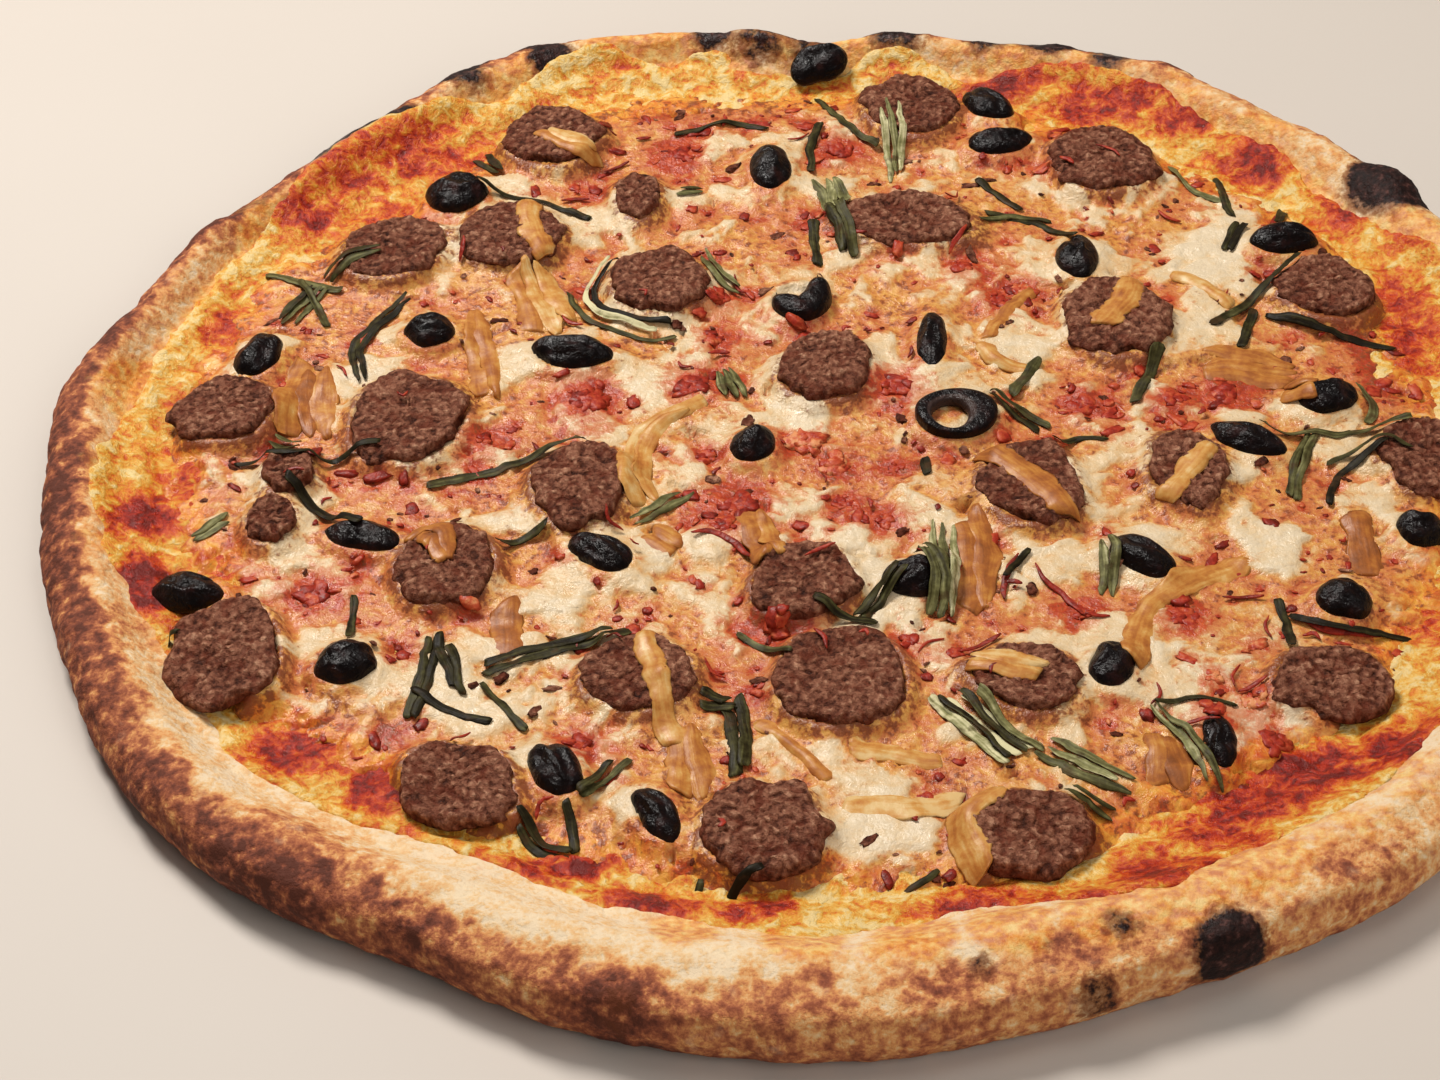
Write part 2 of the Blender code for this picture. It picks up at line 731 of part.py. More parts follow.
def main():
    for old in list(bpy.data.objects):
        bpy.data.objects.remove(old)
    dough = material("baked_dough", (0.72, 0.46, 0.22), 0.7)
    tomato = material("tomato_sauce", (0.55, 0.08, 0.02), 0.4)
    mozzarella = material("melted_cheese", (0.80, 0.62, 0.34), 0.4)
    beef = material("browned_meat", (0.16, 0.07, 0.05), 0.7)
    black_olive = material("black_olive", (0.010, 0.007, 0.010), 0.2)

    crust = make_crust(dough)
    sauce = make_sauce(tomato)
    cheese = make_cheese_core(mozzarella)
    surfaces = [surface_of(made) for made in (crust, sauce, cheese)]
    make_meats(surfaces, beef)
    make_olives(surfaces, black_olive)
    make_ring_olive(f"olive_{len(OLIVES) + 1:02d}", surfaces, black_olive)
    make_crescent_olive(f"olive_{len(OLIVES) + 2:02d}", surfaces, black_olive)

    plans = topping_plans()
    fuse(cheese, make_strips(cheese, plans, mozzarella) + make_dice(cheese, plans, mozzarella))


main()
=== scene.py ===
import math

import bmesh
import bpy
import numpy as np
from mathutils import Matrix, Vector


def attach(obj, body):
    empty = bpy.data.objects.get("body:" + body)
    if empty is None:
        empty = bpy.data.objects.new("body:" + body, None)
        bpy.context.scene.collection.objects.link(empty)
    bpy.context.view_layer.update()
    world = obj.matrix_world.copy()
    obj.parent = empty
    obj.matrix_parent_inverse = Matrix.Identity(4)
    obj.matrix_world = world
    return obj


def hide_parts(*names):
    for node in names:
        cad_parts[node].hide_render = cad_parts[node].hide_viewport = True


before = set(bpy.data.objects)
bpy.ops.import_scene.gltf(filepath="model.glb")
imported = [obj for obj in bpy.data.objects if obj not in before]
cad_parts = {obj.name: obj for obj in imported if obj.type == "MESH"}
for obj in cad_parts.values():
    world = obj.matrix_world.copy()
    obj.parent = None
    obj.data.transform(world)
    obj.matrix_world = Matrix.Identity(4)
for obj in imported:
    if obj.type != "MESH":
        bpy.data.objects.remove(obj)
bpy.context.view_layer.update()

# Lengths below are in millimetres and angles in degrees. The pizza's plan is
# given about its own centre, and MIDDLE moves it to the frame's origin.
MM = 0.001

# Heights, as the solids have them
FLOOR_TOP = 4.0
SAUCE_BASE = 4.3
SAUCE_TOP = 5.8
CHEESE_BASE = 4.7
CHEESE_EDGE = 7.0
CHEESE_TOP = 8.7
CHEESE_WAVE = 0.5
RIM_LOWEST = 11.0
RIM_RISE = 0.2
RIM_CREST_AT = 0.45
FOOT_INSET = 9.0
# The dough has puffed up inside the rim's foot, and falls to the floor over this length
FOOT_TOP = 8.2
FOOT_FALL = 11.0

# Outer radius every 10 degrees, counted from +X towards +Y
OUTLINE_RADII = np.array([
    199, 198, 196, 194, 195.5, 195, 197, 191, 189, 185, 195, 202,
    200.5, 195, 193.5, 196, 197, 201.5, 199.5, 199, 199, 201, 202.5, 199.5,
    196, 199, 200, 200.5, 198, 196.5, 199, 201, 200, 198, 199, 200,
])
# Width of the raised rim every 30 degrees
RIM_WIDTHS = np.array([26, 20, 20, 15, 20, 16, 22, 25, 31, 38, 35, 30.0])
# Radius that the cheese reaches every 15 degrees
CHEESE_RADII = np.array([
    162, 163, 166, 163, 164, 166, 163, 170, 168, 160, 170, 172,
    168, 164, 171, 160, 157, 157, 155, 158, 155, 158, 160, 162.0,
])

# Bubbles and blisters baked into the rim: place, radius and height
BLISTERS = (
    (-135, 148, 9, 3.0), (-78, 190, 8, 1.5), (-10, 181, 10, 3.5), (32, 188, 12, 2.0), (78, 180, 8, 2.0),
    (110, 160, 8, 1.5), (168, 101, 9, 5.0), (-165, 97, 6, 1.5), (-128, -144, 14, 1.5),
    (-52, -187, 7, 1.2), (50, -190, 6, 1.2), (81, -184, 8, 3.5),
)

# Slices of meat: place, half sizes, and the turn of the first half size from +X
MEATS = (
    (-71, 139, 14, 16, 0), (-114, 88, 15, 14, 10), (-82, 92, 15, 13, 0), (33, 149, 14, 17, 0),
    (28, 92, 19, 11.5, -10), (-41, 67, 13, 14, 0), (-47, 108, 6.5, 10, 0), (85, 118, 15, 16, 0),
    (139, 54, 13.5, 13, 0), (-155, 19, 13.5, 12.5, 0), (-107, 12, 15.5, 18, 0), (-136, -7, 7, 8, 0),
    (-139, -26, 6.5, 8.5, 0), (-95, -45, 13, 14.5, 0), (-146, -74, 14.5, 17.5, 10),
    (-62, -17, 12.5, 15.5, 0), (2, 27, 12, 14, -30), (52, -22, 13, 16, 0), (-7, -55, 13, 13, 0),
    (1, -89, 16.5, 17, 0), (-47, -86, 13.5, 12.5, 0), (80, 45, 13.5, 16.5, 0), (91, -18, 10, 14, 0),
    (152, -16, 12.5, 14, 0), (116, -96, 14.5, 11.5, 0), (-89, -120, 15, 12, -30),
    (-20, -138, 14.5, 13.5, 0), (40, -142, 14, 12.5, 0), (44, -92, 14, 11, -20),
)

# Pieces of olive lying skin up: place, length, width and turn of the length,
# then any notch in the outline: its direction, depth as a share, and half angle
OLIVES = (
    (-98, 113, 17.5, 17, 0, 200, 0.10, 25), (7, 170, 18, 12, 25, 250, 0.20, 30),
    (55, 150, 18, 13, -60, 0, 0, 30), (57, 129, 19, 12, 10, 100, 0.35, 25),
    (-9, 120, 21, 12, 90, 0, 0, 30), (73, 73, 20, 12, 90, 20, 0.22, 22),
    (130, 77, 18, 14, 0, -60, 0.22, 30), (-148, 42, 19, 12.5, 80, 60, 0.12, 25),
    (-103, 50, 14, 13, 0, 190, 0.12, 30), (-65, 38, 23, 13, -8, 215, 0.28, 30),
    (-116, -32, 19.5, 11, -15, 0, 0, 30), (-57, -42, 19, 12, -38, 265, 0.28, 28),
    (-158, -49, 20, 13, -20, 70, 0.15, 30), (-118, -78, 16, 14, 20, 150, 0.12, 25),
    (31, 39, 23, 8.5, 85, 0, 0, 30), (-18, -2, 14, 12, 80, 0, 0, 30), (76, -50, 18, 12, -45, 0, 0, 30),
    (20, -55, 15, 15, 0, 120, 0.15, 25), (131, 9, 15, 13, 0, 100, 0.12, 25),
    (108, -7, 21, 11.5, -30, 200, 0.15, 30), (146, -43, 13, 12.5, 0, 90, 0.20, 20),
    (123, -68, 14, 13.5, 0, 30, 0.20, 40), (-67, -116, 19, 12, -65, 160, 0.16, 18),
    (-44, -131, 18, 10, -65, 265, 0.30, 35), (64, -88, 15, 11.5, 75, 90, 0.20, 40),
    (86, -114, 17, 9, 90, 100, 0.25, 50),
)
RING_OLIVE = {
    "middle": (35, 6.5), "half_sizes": (11, 9.5),
    "hole": (33.2, 5.5), "hole_half_sizes": (4.2, 5.2),
}
CRESCENT_OLIVE = {
    "middle": (-4, 58), "half_sizes": (7.5, 8.5), "widths": (2.5, 7.5, 9, 7, 2.2),
    "path": ((-9.5, 62), (-7.5, 56), (-2.5, 53.5), (1.5, 59), (2, 69)),
}

# Spring onion: leaf or strip, width, how light its green is, and its path
GREENS = (
    ("strip", 4, 0.5, (-150, 83), (-140, 78), (-128, 72)),
    ("leaf", 6, 0.5, (-133, 76), (-126, 82), (-116, 85)),
    ("leaf", 8, 0.4, (-143, 58), (-139, 66), (-133, 74)),
    ("strip", 3, 0.5, (-140, 78), (-135, 68), (-131, 56)),
    ("strip", 2.5, 0.1, (-92, 115), (-75, 109), (-60, 100)),
    ("leaf", 5, 0.4, (-93, 138), (-85, 124)),
    ("leaf", 5.5, 0.2, (-108, 70), (-118, 55), (-122, 45), (-120, 31)),
    ("strip", 3, 0.2, (-36, 142), (-22, 146), (-9, 143)),
    ("leaf", 7.5, 0.9, (26, 148), (27, 131), (26, 114)),
    ("strip", 3, 0.2, (6, 160), (13, 145), (22, 131)),
    ("strip", 3.2, 0.1, (6, 144), (3, 131), (3, 119)),
    ("leaf", 10, 0.8, (6, 116), (8, 108), (8, 97)),
    ("strip", 6, 0.3, (7, 103), (10, 90), (11, 78)),
    ("strip", 4, 0.1, (2, 97), (2, 76)),
    ("strip", 3, 0.2, (49, 113), (60, 98)),
    ("strip", 3, 0.3, (50, 97), (64, 92), (74, 81)),
    ("strip", 2.4, 0.4, (48, 92), (58, 95), (68, 93)),
    ("leaf", 4.5, 0.7, (-29, 87), (-25, 72), (-17, 62)),
    ("strip", 2.2, 0.1, (-52, 80), (-59, 67), (-53, 55), (-38, 50)),
    ("strip", 2.2, 0.3, (-66, 66), (-60, 54), (-44, 45), (-37, 46)),
    ("strip", 2.2, 1.1, (-55, 78), (-61, 66), (-56, 55), (-42, 48)),
    ("leaf", 5, 0.5, (-36, 112), (-27, 113)),
    ("strip", 3, 0.5, (105, 119), (109, 106), (118, 98)),
    ("strip", 3, 0.4, (117, 113), (118, 91)),
    ("strip", 4.5, 0.05, (121, 90), (114, 74)),
    ("strip", 3.5, 0.1, (136, 102), (131, 88)),
    ("leaf", 6, 0.6, (-143, 9), (-132, 2)),
    ("strip", 2.5, 0.1, (-151, 0), (-132, -2), (-113, 1)),
    ("leaf", 6, 0.5, (-159, -28), (-150, -21)),
    ("strip", 3.5, 0.2, (-136, -12), (-128, -20), (-116, -30)),
    ("strip", 4, 0.15, (-101, -12), (-82, -6), (-61, 2)),
    ("strip", 3.2, 0.0, (-82, -36), (-70, -31)),
    ("strip", 2.6, 0.3, (-117, -52), (-117, -68)),
    ("strip", 3, 0.3, (-169, -64), (-158, -68)),
    ("strip", 5, 0.2, (-96, -64), (-98, -80), (-102, -97)),
    ("strip", 5, 0.2, (-95, -70), (-92, -80), (-90, -89)),
    ("strip", 5.5, 0.3, (-88, -81), (-70, -74), (-48, -68)),
    ("strip", 3, 0.2, (-101, -86), (-92, -94), (-82, -98)),
    ("strip", 2.5, 0.1, (-85, -85), (-74, -101)),
    ("strip", 4.5, 0.4, (-62, -126), (-56, -118), (-51, -111)),
    ("strip", 3, 0.3, (-64, -126), (-62, -139)),
    ("strip", 4.5, 0.1, (-76, -129), (-70, -137), (-62, -140)),
    ("strip", 6.5, 0.2, (-26, -92), (-24, -106), (-25, -120)),
    ("strip", 6, 0.15, (-33, -94), (-25, -95)),
    ("strip", 4, 0.9, (21, -95), (29, -107), (37, -118)),
    ("strip", 3, 1.4, (25, -96), (32, -106), (40, -115)),
    ("strip", 2.4, 0.0, (23, -95), (31, -106), (38, -116)),
    ("strip", 2.6, 1.3, (29, -96), (36, -106), (43, -113)),
    ("strip", 2.4, 0.1, (28, -95), (35, -106), (42, -114)),
    ("strip", 3, 0.6, (32, -97), (38, -106), (46, -113)),
    ("leaf", 9, 0.7, (45, -111), (55, -120), (65, -128)),
    ("leaf", 6, 0.2, (49, -130), (61, -135)),
    ("strip", 2.5, 0.1, (-36, -159), (-34, -149)),
    ("strip", 2.5, 0.1, (-36, -159), (-30, -155), (-20, -151)),
    ("strip", 2.8, 0.1, (27, -166), (33, -154)),
    ("strip", 2.5, 0.2, (4, -157), (12, -154), (19, -149)),
    ("leaf", 7.5, 0.8, (28, -33), (28, -50), (26, -72)),
    ("strip", 5, 0.7, (21, -45), (26, -58), (24, -69)),
    ("strip", 5, 0.4, (4, -70), (10, -62), (18, -54)),
    ("strip", 3.5, 0.2, (-5, -64), (2, -68), (10, -70)),
    ("strip", 2.5, 0.2, (-24, -70), (-11, -82)),
    ("strip", 4, 0.3, (59, 30), (50, 16)),
    ("strip", 4.5, 0.3, (44, 16), (58, 2)),
    ("strip", 2.6, 0.1, (59, -6), (66, -2), (73, -3)),
    ("leaf", 8, 0.5, (-24, 31), (-22, 19)),
    ("strip", 3, 0.3, (26, -7), (26, -15)),
    ("leaf", 5, 0.6, (-51, -31), (-42, -24), (-34, -17)),
    ("leaf", 5.5, 0.6, (69, -42), (68, -52), (65, -64)),
    ("strip", 2, 0.0, (49, -45), (42, -55)),
    ("strip", 3.5, 0.3, (106, 42), (120, 55), (133, 68)),
    ("strip", 3.5, 0.3, (118, 49), (112, 32)),
    ("strip", 3, 0.1, (121, 47), (132, 40), (153, 32)),
    ("strip", 4, 0.3, (90, 30), (81, 11)),
    ("strip", 4.5, 0.4, (126, -2), (120, -16), (116, -29)),
    ("strip", 3, 0.4, (112, -2), (131, -4), (150, -4)),
    ("strip", 2.6, 0.1, (142, -13), (130, -20), (125, -32)),
    ("strip", 2.6, 0.2, (127, -16), (140, -12), (148, -16)),
    ("strip", 3, 0.2, (107, -65), (108, -83)),
    ("strip", 2.5, 0.1, (109, -71), (120, -77), (144, -79)),
    ("leaf", 4.5, 0.6, (72, -100), (80, -115), (84, -128)),
    ("strip", 2.2, 0.3, (73, -101), (82, -99), (92, -102)),
    ("strip", 3, 0.5, (139, 12), (143, 6), (140, 0)),
)

# Soft cooked onion, in the same way: width, how brown it is, and its path
ONIONS = (
    (14, 0.4, (-133, 43), (-134, 24), (-132, 6)),
    (7, 0.3, (-91, 62), (-88, 40), (-86, 18)),
    (14, 0.2, (-78, 80), (-73, 64), (-69, 48)),
    (6, 0.5, (-79, -56), (-79, -76)),
    (7, 0.1, (-28, 19), (-44, 8), (-48, -9), (-43, -30)),
    (8, 0.5, (-18, -22), (-17, -34), (-15, -48)),
    (9, 0.4, (35, -28), (36, -48), (34, -67)),
    (4, 0.1, (44, 38), (48, 30), (56, 26)),
    (8, 0.5, (-45, -32), (-36, -40)),
    (13, 0.4, (100, 28), (113, 26), (126, 20)),
    (8, 0.3, (119, 14), (128, 11)),
    (6, 0.2, (69, -88), (75, -68), (84, -60), (101, -50)),
    (6, 0.4, (131, -35), (131, -57)),
    (9, 0.4, (-37, -100), (-36, -114), (-35, -128)),
    (5, 0.0, (1, -111), (12, -113), (22, -116)),
    (6, 0.0, (-1, -128), (13, -130), (26, -128)),
    (9, 0.4, (73, -110), (75, -128)),
    (7, 0.1, (-74, 139), (-66, 132), (-56, 128)),
    (6, 0.1, (-78, 104), (-76, 92), (-72, 80)),
    (6, 0.3, (40, -8), (52, -22), (60, -36)),
    (5, 0.1, (-46, -74), (-44, -86), (-40, -108)),
    (6, 0.3, (86, 60), (84, 50), (76, 38)),
    (5, 0.2, (84, -30), (90, -22), (98, -12)),
    (6, 0.2, (34, -128), (25, -138), (28, -153)),
    (7, 0.1, (28, -86), (38, -89), (50, -92)),
    (3, 0.1, (-20, -100), (-12, -110), (-4, -121)),
    (7, 0.4, (-104, -42), (-98, -34), (-94, -46)),
    (4, 0.2, (60, 62), (52, 52), (46, 40)),
    (4, 0.2, (98, 66), (106, 60), (112, 50)),
)

# Thin dark curls: width, tone from dark to red, and path
SLIVERS = (
    (1.8, 0.05, (46, -46), (43, -53), (41, -62)), (1.6, 0.05, (42, -57), (46, -58)),
    (1.6, 0.25, (50, -50), (52, -56), (55, -60), (58, -65), (60, -70)), (1.4, 0.3, (60, -70), (66, -70)),
    (1.7, 0.2, (39, -75), (34, -79), (29, -81)), (1.4, 0.05, (94, -64), (104, -64)),
    (1.6, 0.1, (111, -72), (118, -77), (130, -78)), (1.4, 0.2, (93, -97), (100, -95)),
    (2.0, 0.25, (-34, -35), (-29, -34), (-23, -39), (-19, -45)),
)

# Diced tomato: place and radius, and the tone where it is orange
TOMATOES = (
    (-33, 25, 5.5), (-27, 45, 3), (-25, 62, 3.5), (-22, -23, 5.5), (-26, -31, 4), (-30, -3, 3.5),
    (20, 22, 5.5), (18, -10, 3), (14, -31, 3), (4, -23, 3), (68, 12, 4.5), (92, 13, 4), (105, 14, 4.5),
    (84, -70, 4.5), (-14, -69, 4), (60, -67, 3), (-60, 21, 6), (-87, 6, 3), (-127, -50, 5),
    (-35, 132, 4.5), (12, 131, 4.5), (42, 73, 4), (51, 57, 4), (-62, -106, 3.5), (99, -113, 4.5),
    (28, -81, 3), (17, -76, 3), (-20, -90, 3), (86, -104, 3.5), (-58, 26, 3), (-4, 1, 5.5, 1.1),
    (3, -8, 5, 1.0), (57, 62, 4, 0.9), (97, -100, 4, 1.1), (88, -92, 3, 1.1),
)

# Places where the cheese is red with sauce: place, half sizes and strength
RED_BLOTS = (
    (-60, 22, 9, 8, 0.8), (-25, -25, 12, 9, 0.9), (-28, 25, 10, 8, 0.6), (-14, -68, 14, 6, 0.7),
    (20, 20, 9, 10, 0.6), (-10, 45, 22, 10, 0.35), (70, 12, 10, 6, 0.6), (92, 12, 12, 6, 0.6),
    (108, 16, 8, 8, 0.6), (84, -70, 7, 6, 0.6), (60, -67, 12, 8, 0.35), (-87, 2, 8, 10, 0.6),
    (-127, -50, 10, 7, 0.6), (-35, 130, 8, 12, 0.6), (12, 131, 9, 7, 0.5), (50, 60, 10, 10, 0.4),
    (0, -30, 30, 14, 0.3), (-60, -108, 8, 6, 0.5), (92, -108, 14, 8, 0.6), (120, 105, 14, 14, 0.5),
    (95, 138, 26, 9, 0.9), (75, 155, 20, 8, 0.9), (-120, 116, 24, 22, 1.0), (-160, -20, 8, 22, 0.7),
    (-118, -104, 18, 8, 0.8), (-72, -142, 16, 7, 0.9), (-46, -152, 16, 7, 0.9), (70, -135, 14, 8, 0.8),
    (95, -132, 16, 8, 1.0), (118, -118, 16, 9, 0.9), (20, -158, 26, 7, 0.6), (150, 30, 10, 26, 0.8),
    (155, 75, 9, 20, 0.9), (-60, 8, 8, 6, 0.5), (-100, -8, 14, 5, 0.35), (35, -60, 14, 16, 0.3),
    (-150, 60, 10, 12, 0.2), (-20, 152, 26, 8, 0.4),
)
# Where bare sauce shows beside the rim, in the same way
SAUCE_BLOTS = (
    (60, 161, 14, 7, 1.0), (90, 150, 20, 8, 1.1), (113, 140, 13, 9, 0.9), (128, 118, 11, 11, 0.9),
    (149, 96, 11, 13, 0.9), (165, 78, 9, 12, 0.8), (158, 42, 10, 24, 0.75), (-131, 118, 24, 22, 0.50),
    (-112, 134, 18, 12, 0.6), (-140, 108, 9, 7, 0.9), (-171, -18, 9, 11, 1.0), (-168, -46, 8, 13, 1.1),
    (-129, -103, 12, 11, 1.0), (-106, -117, 11, 8, 1.0), (-73, -145, 11, 7, 0.9), (-62, -143, 10, 6, 0.9),
    (-46, -157, 12, 6, 1.0), (-22, -159, 8, 5, 0.9), (24, -161, 12, 6, 0.8), (43, -164, 11, 6, 0.8),
    (126, -120, 12, 9, 1.0), (113, -121, 11, 8, 1.0), (93, -132, 15, 9, 1.1), (104, -123, 14, 8, 1.1),
    (-166, -5, 8, 13, 0.6), (-151, -36, 10, 8, 0.5), (-167, 26, 7, 10, 0.4), (83, -142, 12, 9, 1.1),
    (70, -156, 14, 10, 0.95), (-158, 62, 8, 13, 0.75), (-40, 156, 16, 6, 0.4), (160, -20, 8, 16, 0.5),
    (148, -75, 8, 14, 0.5),
)
# Where oil has made the cheese golden
GOLD_BLOTS = (
    (-60, 160, 26, 12, 0.9), (-15, 160, 26, 14, 1.0), (-135, 100, 18, 20, 0.9), (-160, 66, 12, 24, 0.9),
    (22, 58, 16, 14, 0.8), (108, -45, 20, 18, 0.4), (-110, -92, 20, 8, 0.8), (-92, 75, 11, 9, 0.9),
    (34, -120, 10, 10, 0.7), (-48, 41, 11, 9, 0.8), (-82, -18, 12, 9, 0.8), (-88, 50, 18, 10, 0.8),
    (-117, 60, 14, 12, 0.8), (30, -16, 16, 12, 0.8), (34, 52, 14, 12, 0.7), (-138, 62, 11, 12, 0.9),
    (-72, -38, 12, 9, 0.7), (-75, 134, 12, 10, 0.6), (-75, 62, 16, 18, 0.5), (-38, -112, 12, 20, 0.7),
    (70, -120, 14, 12, 0.8), (-85, -55, 14, 14, 0.4), (100, 20, 26, 14, 0.6), (150, 45, 14, 40, 0.8),
    (-150, -10, 12, 14, 0.4), (60, 100, 20, 14, 0.3), (-15, 95, 14, 16, 0.5), (5, -8, 12, 12, 0.7),
    (-50, 30, 12, 10, 0.3), (125, -60, 20, 20, 0.6), (0, -150, 40, 10, 0.5), (-60, -135, 30, 10, 0.5),
    (90, -85, 16, 20, 0.4), (-110, 110, 14, 14, 0.5), (60, -5, 14, 10, 0.5), (90, 90, 18, 10, 0.5),
)
# Where the cheese lies in pale lumps
PALE_BLOTS = (
    (-140, -5, 10, 6, 1.0), (108, 78, 16, 16, 0.9), (85, -42, 12, 8, 0.9), (8, -135, 12, 16, 1.0),
    (-5, -35, 10, 8, 0.6), (0, 68, 12, 8, 0.7), (85, -80, 14, 10, 0.7), (-60, -62, 14, 8, 0.6),
    (101, -77, 14, 11, 0.7), (97, -104, 12, 8, 0.6), (94, 15, 12, 10, 0.6), (6, -68, 12, 6, 0.6),
    (7, -44, 14, 12, 0.9), (52, 30, 10, 10, 0.5), (-35, -40, 16, 10, 0.5), (10, 110, 14, 10, 0.4),
    (-120, 36, 8, 8, 0.3), (30, -48, 30, 14, 0.4), (108, -48, 15, 12, 0.9), (60, 110, 12, 8, 0.4),
    (-5, 8, 10, 8, 0.4), (-90, -85, 14, 12, 0.5),
)

# Places on the rim that are browned, or paler where the strength is negative: place, radius
# and strength
TOAST_PATCHES = (
    (-128, -144, 17, 1.0), (-110, -150, 10, 0.7), (-165, 100, 8, 0.7), (-187, 55, 9, 0.5),
    (-180, 37, 6, 0.5), (-192, -15, 8, 0.5), (110, 162, 9, 0.7), (-98, -164, 8, 0.6), (-10, -185, 6, 0.5),
    (45, -180, 6, 0.7), (-52, -190, 9, 0.9), (10, -184, 10, 0.5), (-160, -115, 10, 0.5),
    (-172, -66, 10, 0.35), (52, -184, 14, -0.35), (110, -160, 12, 0.5),
)
# Blackened places on the rim, in the same way
CHAR_PATCHES = (
    (-126, 137, 12, 1.5), (-114, 146, 8, 0.9), (-72, 178, 8, 0.9), (-24, 186, 8, 0.8),
    (-10, 181, 10, 0.62), (31, 184, 11, 0.8), (75, 176, 9, 1.0), (163, 98, 12, 1.35), (80, -181, 9, 1.2),
    (50, -192, 6, 0.62), (25, -186, 4, 0.55), (-52, -190, 5, 0.4), (92, 165, 7, 0.7), (-97, 168, 8, 0.7),
    (57, 178, 8, 0.7), (4, 180, 8, 0.6), (56, -176, 5, 0.6),
)

# Where the sauce reaches up the rim, or stays short of it where the last number is
# negative: direction, half width in degrees, and how far in millimetres
SAUCE_CLIMBS = (
    (137, 12, 9), (128, 8, 8), (108, 5, 8), (97, 4, 5), (80, 5, 5), (60, 10, 8), (42, 6, 4), (22, 7, 9),
    (8, 6, 4), (291, 6, 15), (250, 4, 3), (302, 7, 10), (314, 9, 9), (330, 12, 9), (283, 5, 6),
    (272, 6, 6), (263, 5, 5), (181, 7, 7), (190, 6, 5), (198, 5, 3), (232, 12, -3), (150, 5, -2),
    (72, 3, -2),
)
# Where oil and sauce have run over the rim: place, radius and strength
OIL_PATCHES = (
    (12, -174, 10, 1.2), (-12, -173, 10, 1.1), (-38, -169, 9, 0.8), (32, -174, 10, 1.2),
    (52, -171, 10, 1.2), (164, 74, 12, 0.9), (168, 56, 9, 0.8), (70, -165, 12, 1.3), (88, -157, 12, 1.2),
    (124, -132, 13, 0.6), (146, -106, 14, 0.6), (100, -150, 10, 0.5), (32, -177, 9, 0.5),
    (112, -146, 9, 0.6), (3, -180, 8, 0.5), (-44, 176, 18, 1.5), (-78, 166, 12, 0.8), (20, 178, 14, 0.6),
    (-175, -4, 12, 1.1), (-178, 30, 12, 1.1), (90, 164, 12, 0.6), (-134, 140, 14, 0.8), (-176, 8, 9, 0.6),
    (-180, -32, 8, 0.5), (-150, 108, 12, 0.4), (63, 170, 14, 0.7), (130, 128, 12, 0.4),
)

# The camera, in the plan's own millimetres, its angles in radians
CAMERA_TARGET = (-27.07, -26.47, 0.0)
CAMERA_DISTANCE = 826.36
CAMERA_ELEVATION = 0.72222
CAMERA_ROLL = -0.03581
CAMERA_LENS = 81.87


def between(values, degrees):
    """The smooth curve through values spread evenly round a circle."""
    place = np.asarray(degrees, float) % 360 / 360 * len(values)
    first = np.floor(place).astype(int)
    share = place - first
    a, b, c, d = (values[(first + step) % len(values)] for step in (-1, 0, 1, 2))
    square = share * share
    cube = square * share
    return (
        (2 * cube - 3 * square + 1) * b
        + (cube - 2 * square + share) * (c - a) / 2
        + (3 * square - 2 * cube) * c
        + (cube - square) * (d - b) / 2
    )


def steady_random(a, b, seed):
    """The same number from -1 to 1 each time for the same whole numbers."""
    first = np.asarray(a, np.int64) * 374761393
    second = np.asarray(b, np.int64) * 668265263
    mixed = (first + second + seed * 974711) & 0x7FFFFFFF
    mixed = ((mixed ^ (mixed >> 13)) * 1274126177) & 0x7FFFFFFF
    return ((mixed ^ (mixed >> 16)) & 0xFFFF) / 32767.5 - 1


def chance(a, b, seed):
    """One such number, for whole numbers that aren't arrays."""
    return float(steady_random(a, b, seed))


def waves(x, y, cell, seed):
    """Smooth bumps from -1 to 1, about one cell across."""
    x = np.asarray(x, float) / cell
    y = np.asarray(y, float) / cell
    column = np.floor(x).astype(np.int64)
    row = np.floor(y).astype(np.int64)
    across = x - column
    up = y - row
    across = across * across * (3 - 2 * across)
    up = up * up * (3 - 2 * up)
    ends = []
    for level in (row, row + 1):
        left = steady_random(column, level, seed)
        right = steady_random(column + 1, level, seed)
        ends.append(left * (1 - across) + right * across)
    low, high = ends
    return low * (1 - up) + high * up


def layered(x, y, cell, seed, octaves=4):
    """Waves over finer waves, from about -1 to 1."""
    total = 0
    weight = 0
    for k in range(octaves):
        share = 0.55**k
        # Each layer is turned, so that the cells' rows don't line up
        turn = 0.9 * k + 0.4
        u = x * math.cos(turn) - y * math.sin(turn)
        v = x * math.sin(turn) + y * math.cos(turn)
        total = total + share * waves(u, v, cell / 2**k, seed + 17 * k)
        weight += share
    return total / weight * 1.5


def pebbles(x, y, cell, seed):
    """Distance to the nearest and the second nearest of scattered points, in cells."""
    x = np.asarray(x, float) / cell
    y = np.asarray(y, float) / cell
    column = np.floor(x).astype(np.int64)
    row = np.floor(y).astype(np.int64)
    nearest = np.full(x.shape, 9.0)
    second = np.full(x.shape, 9.0)
    for i in (-1, 0, 1):
        for j in (-1, 0, 1):
            at_x = column + i + 0.5 + 0.45 * steady_random(column + i, row + j, seed)
            at_y = row + j + 0.5 + 0.45 * steady_random(column + i, row + j, seed + 1)
            distance = np.hypot(x - at_x, y - at_y)
            second = np.minimum(second, np.maximum(nearest, distance))
            nearest = np.minimum(nearest, distance)
    return nearest, second


def smooth_step(low, high, value):
    """0 at low, 1 at high, and smooth between. low may be the larger of the two."""
    share = np.clip((value - low) / (high - low), 0, 1)
    return share * share * (3 - 2 * share)


def cos_of(degrees):
    return np.cos(np.radians(degrees))


def sin_of(degrees):
    return np.sin(np.radians(degrees))


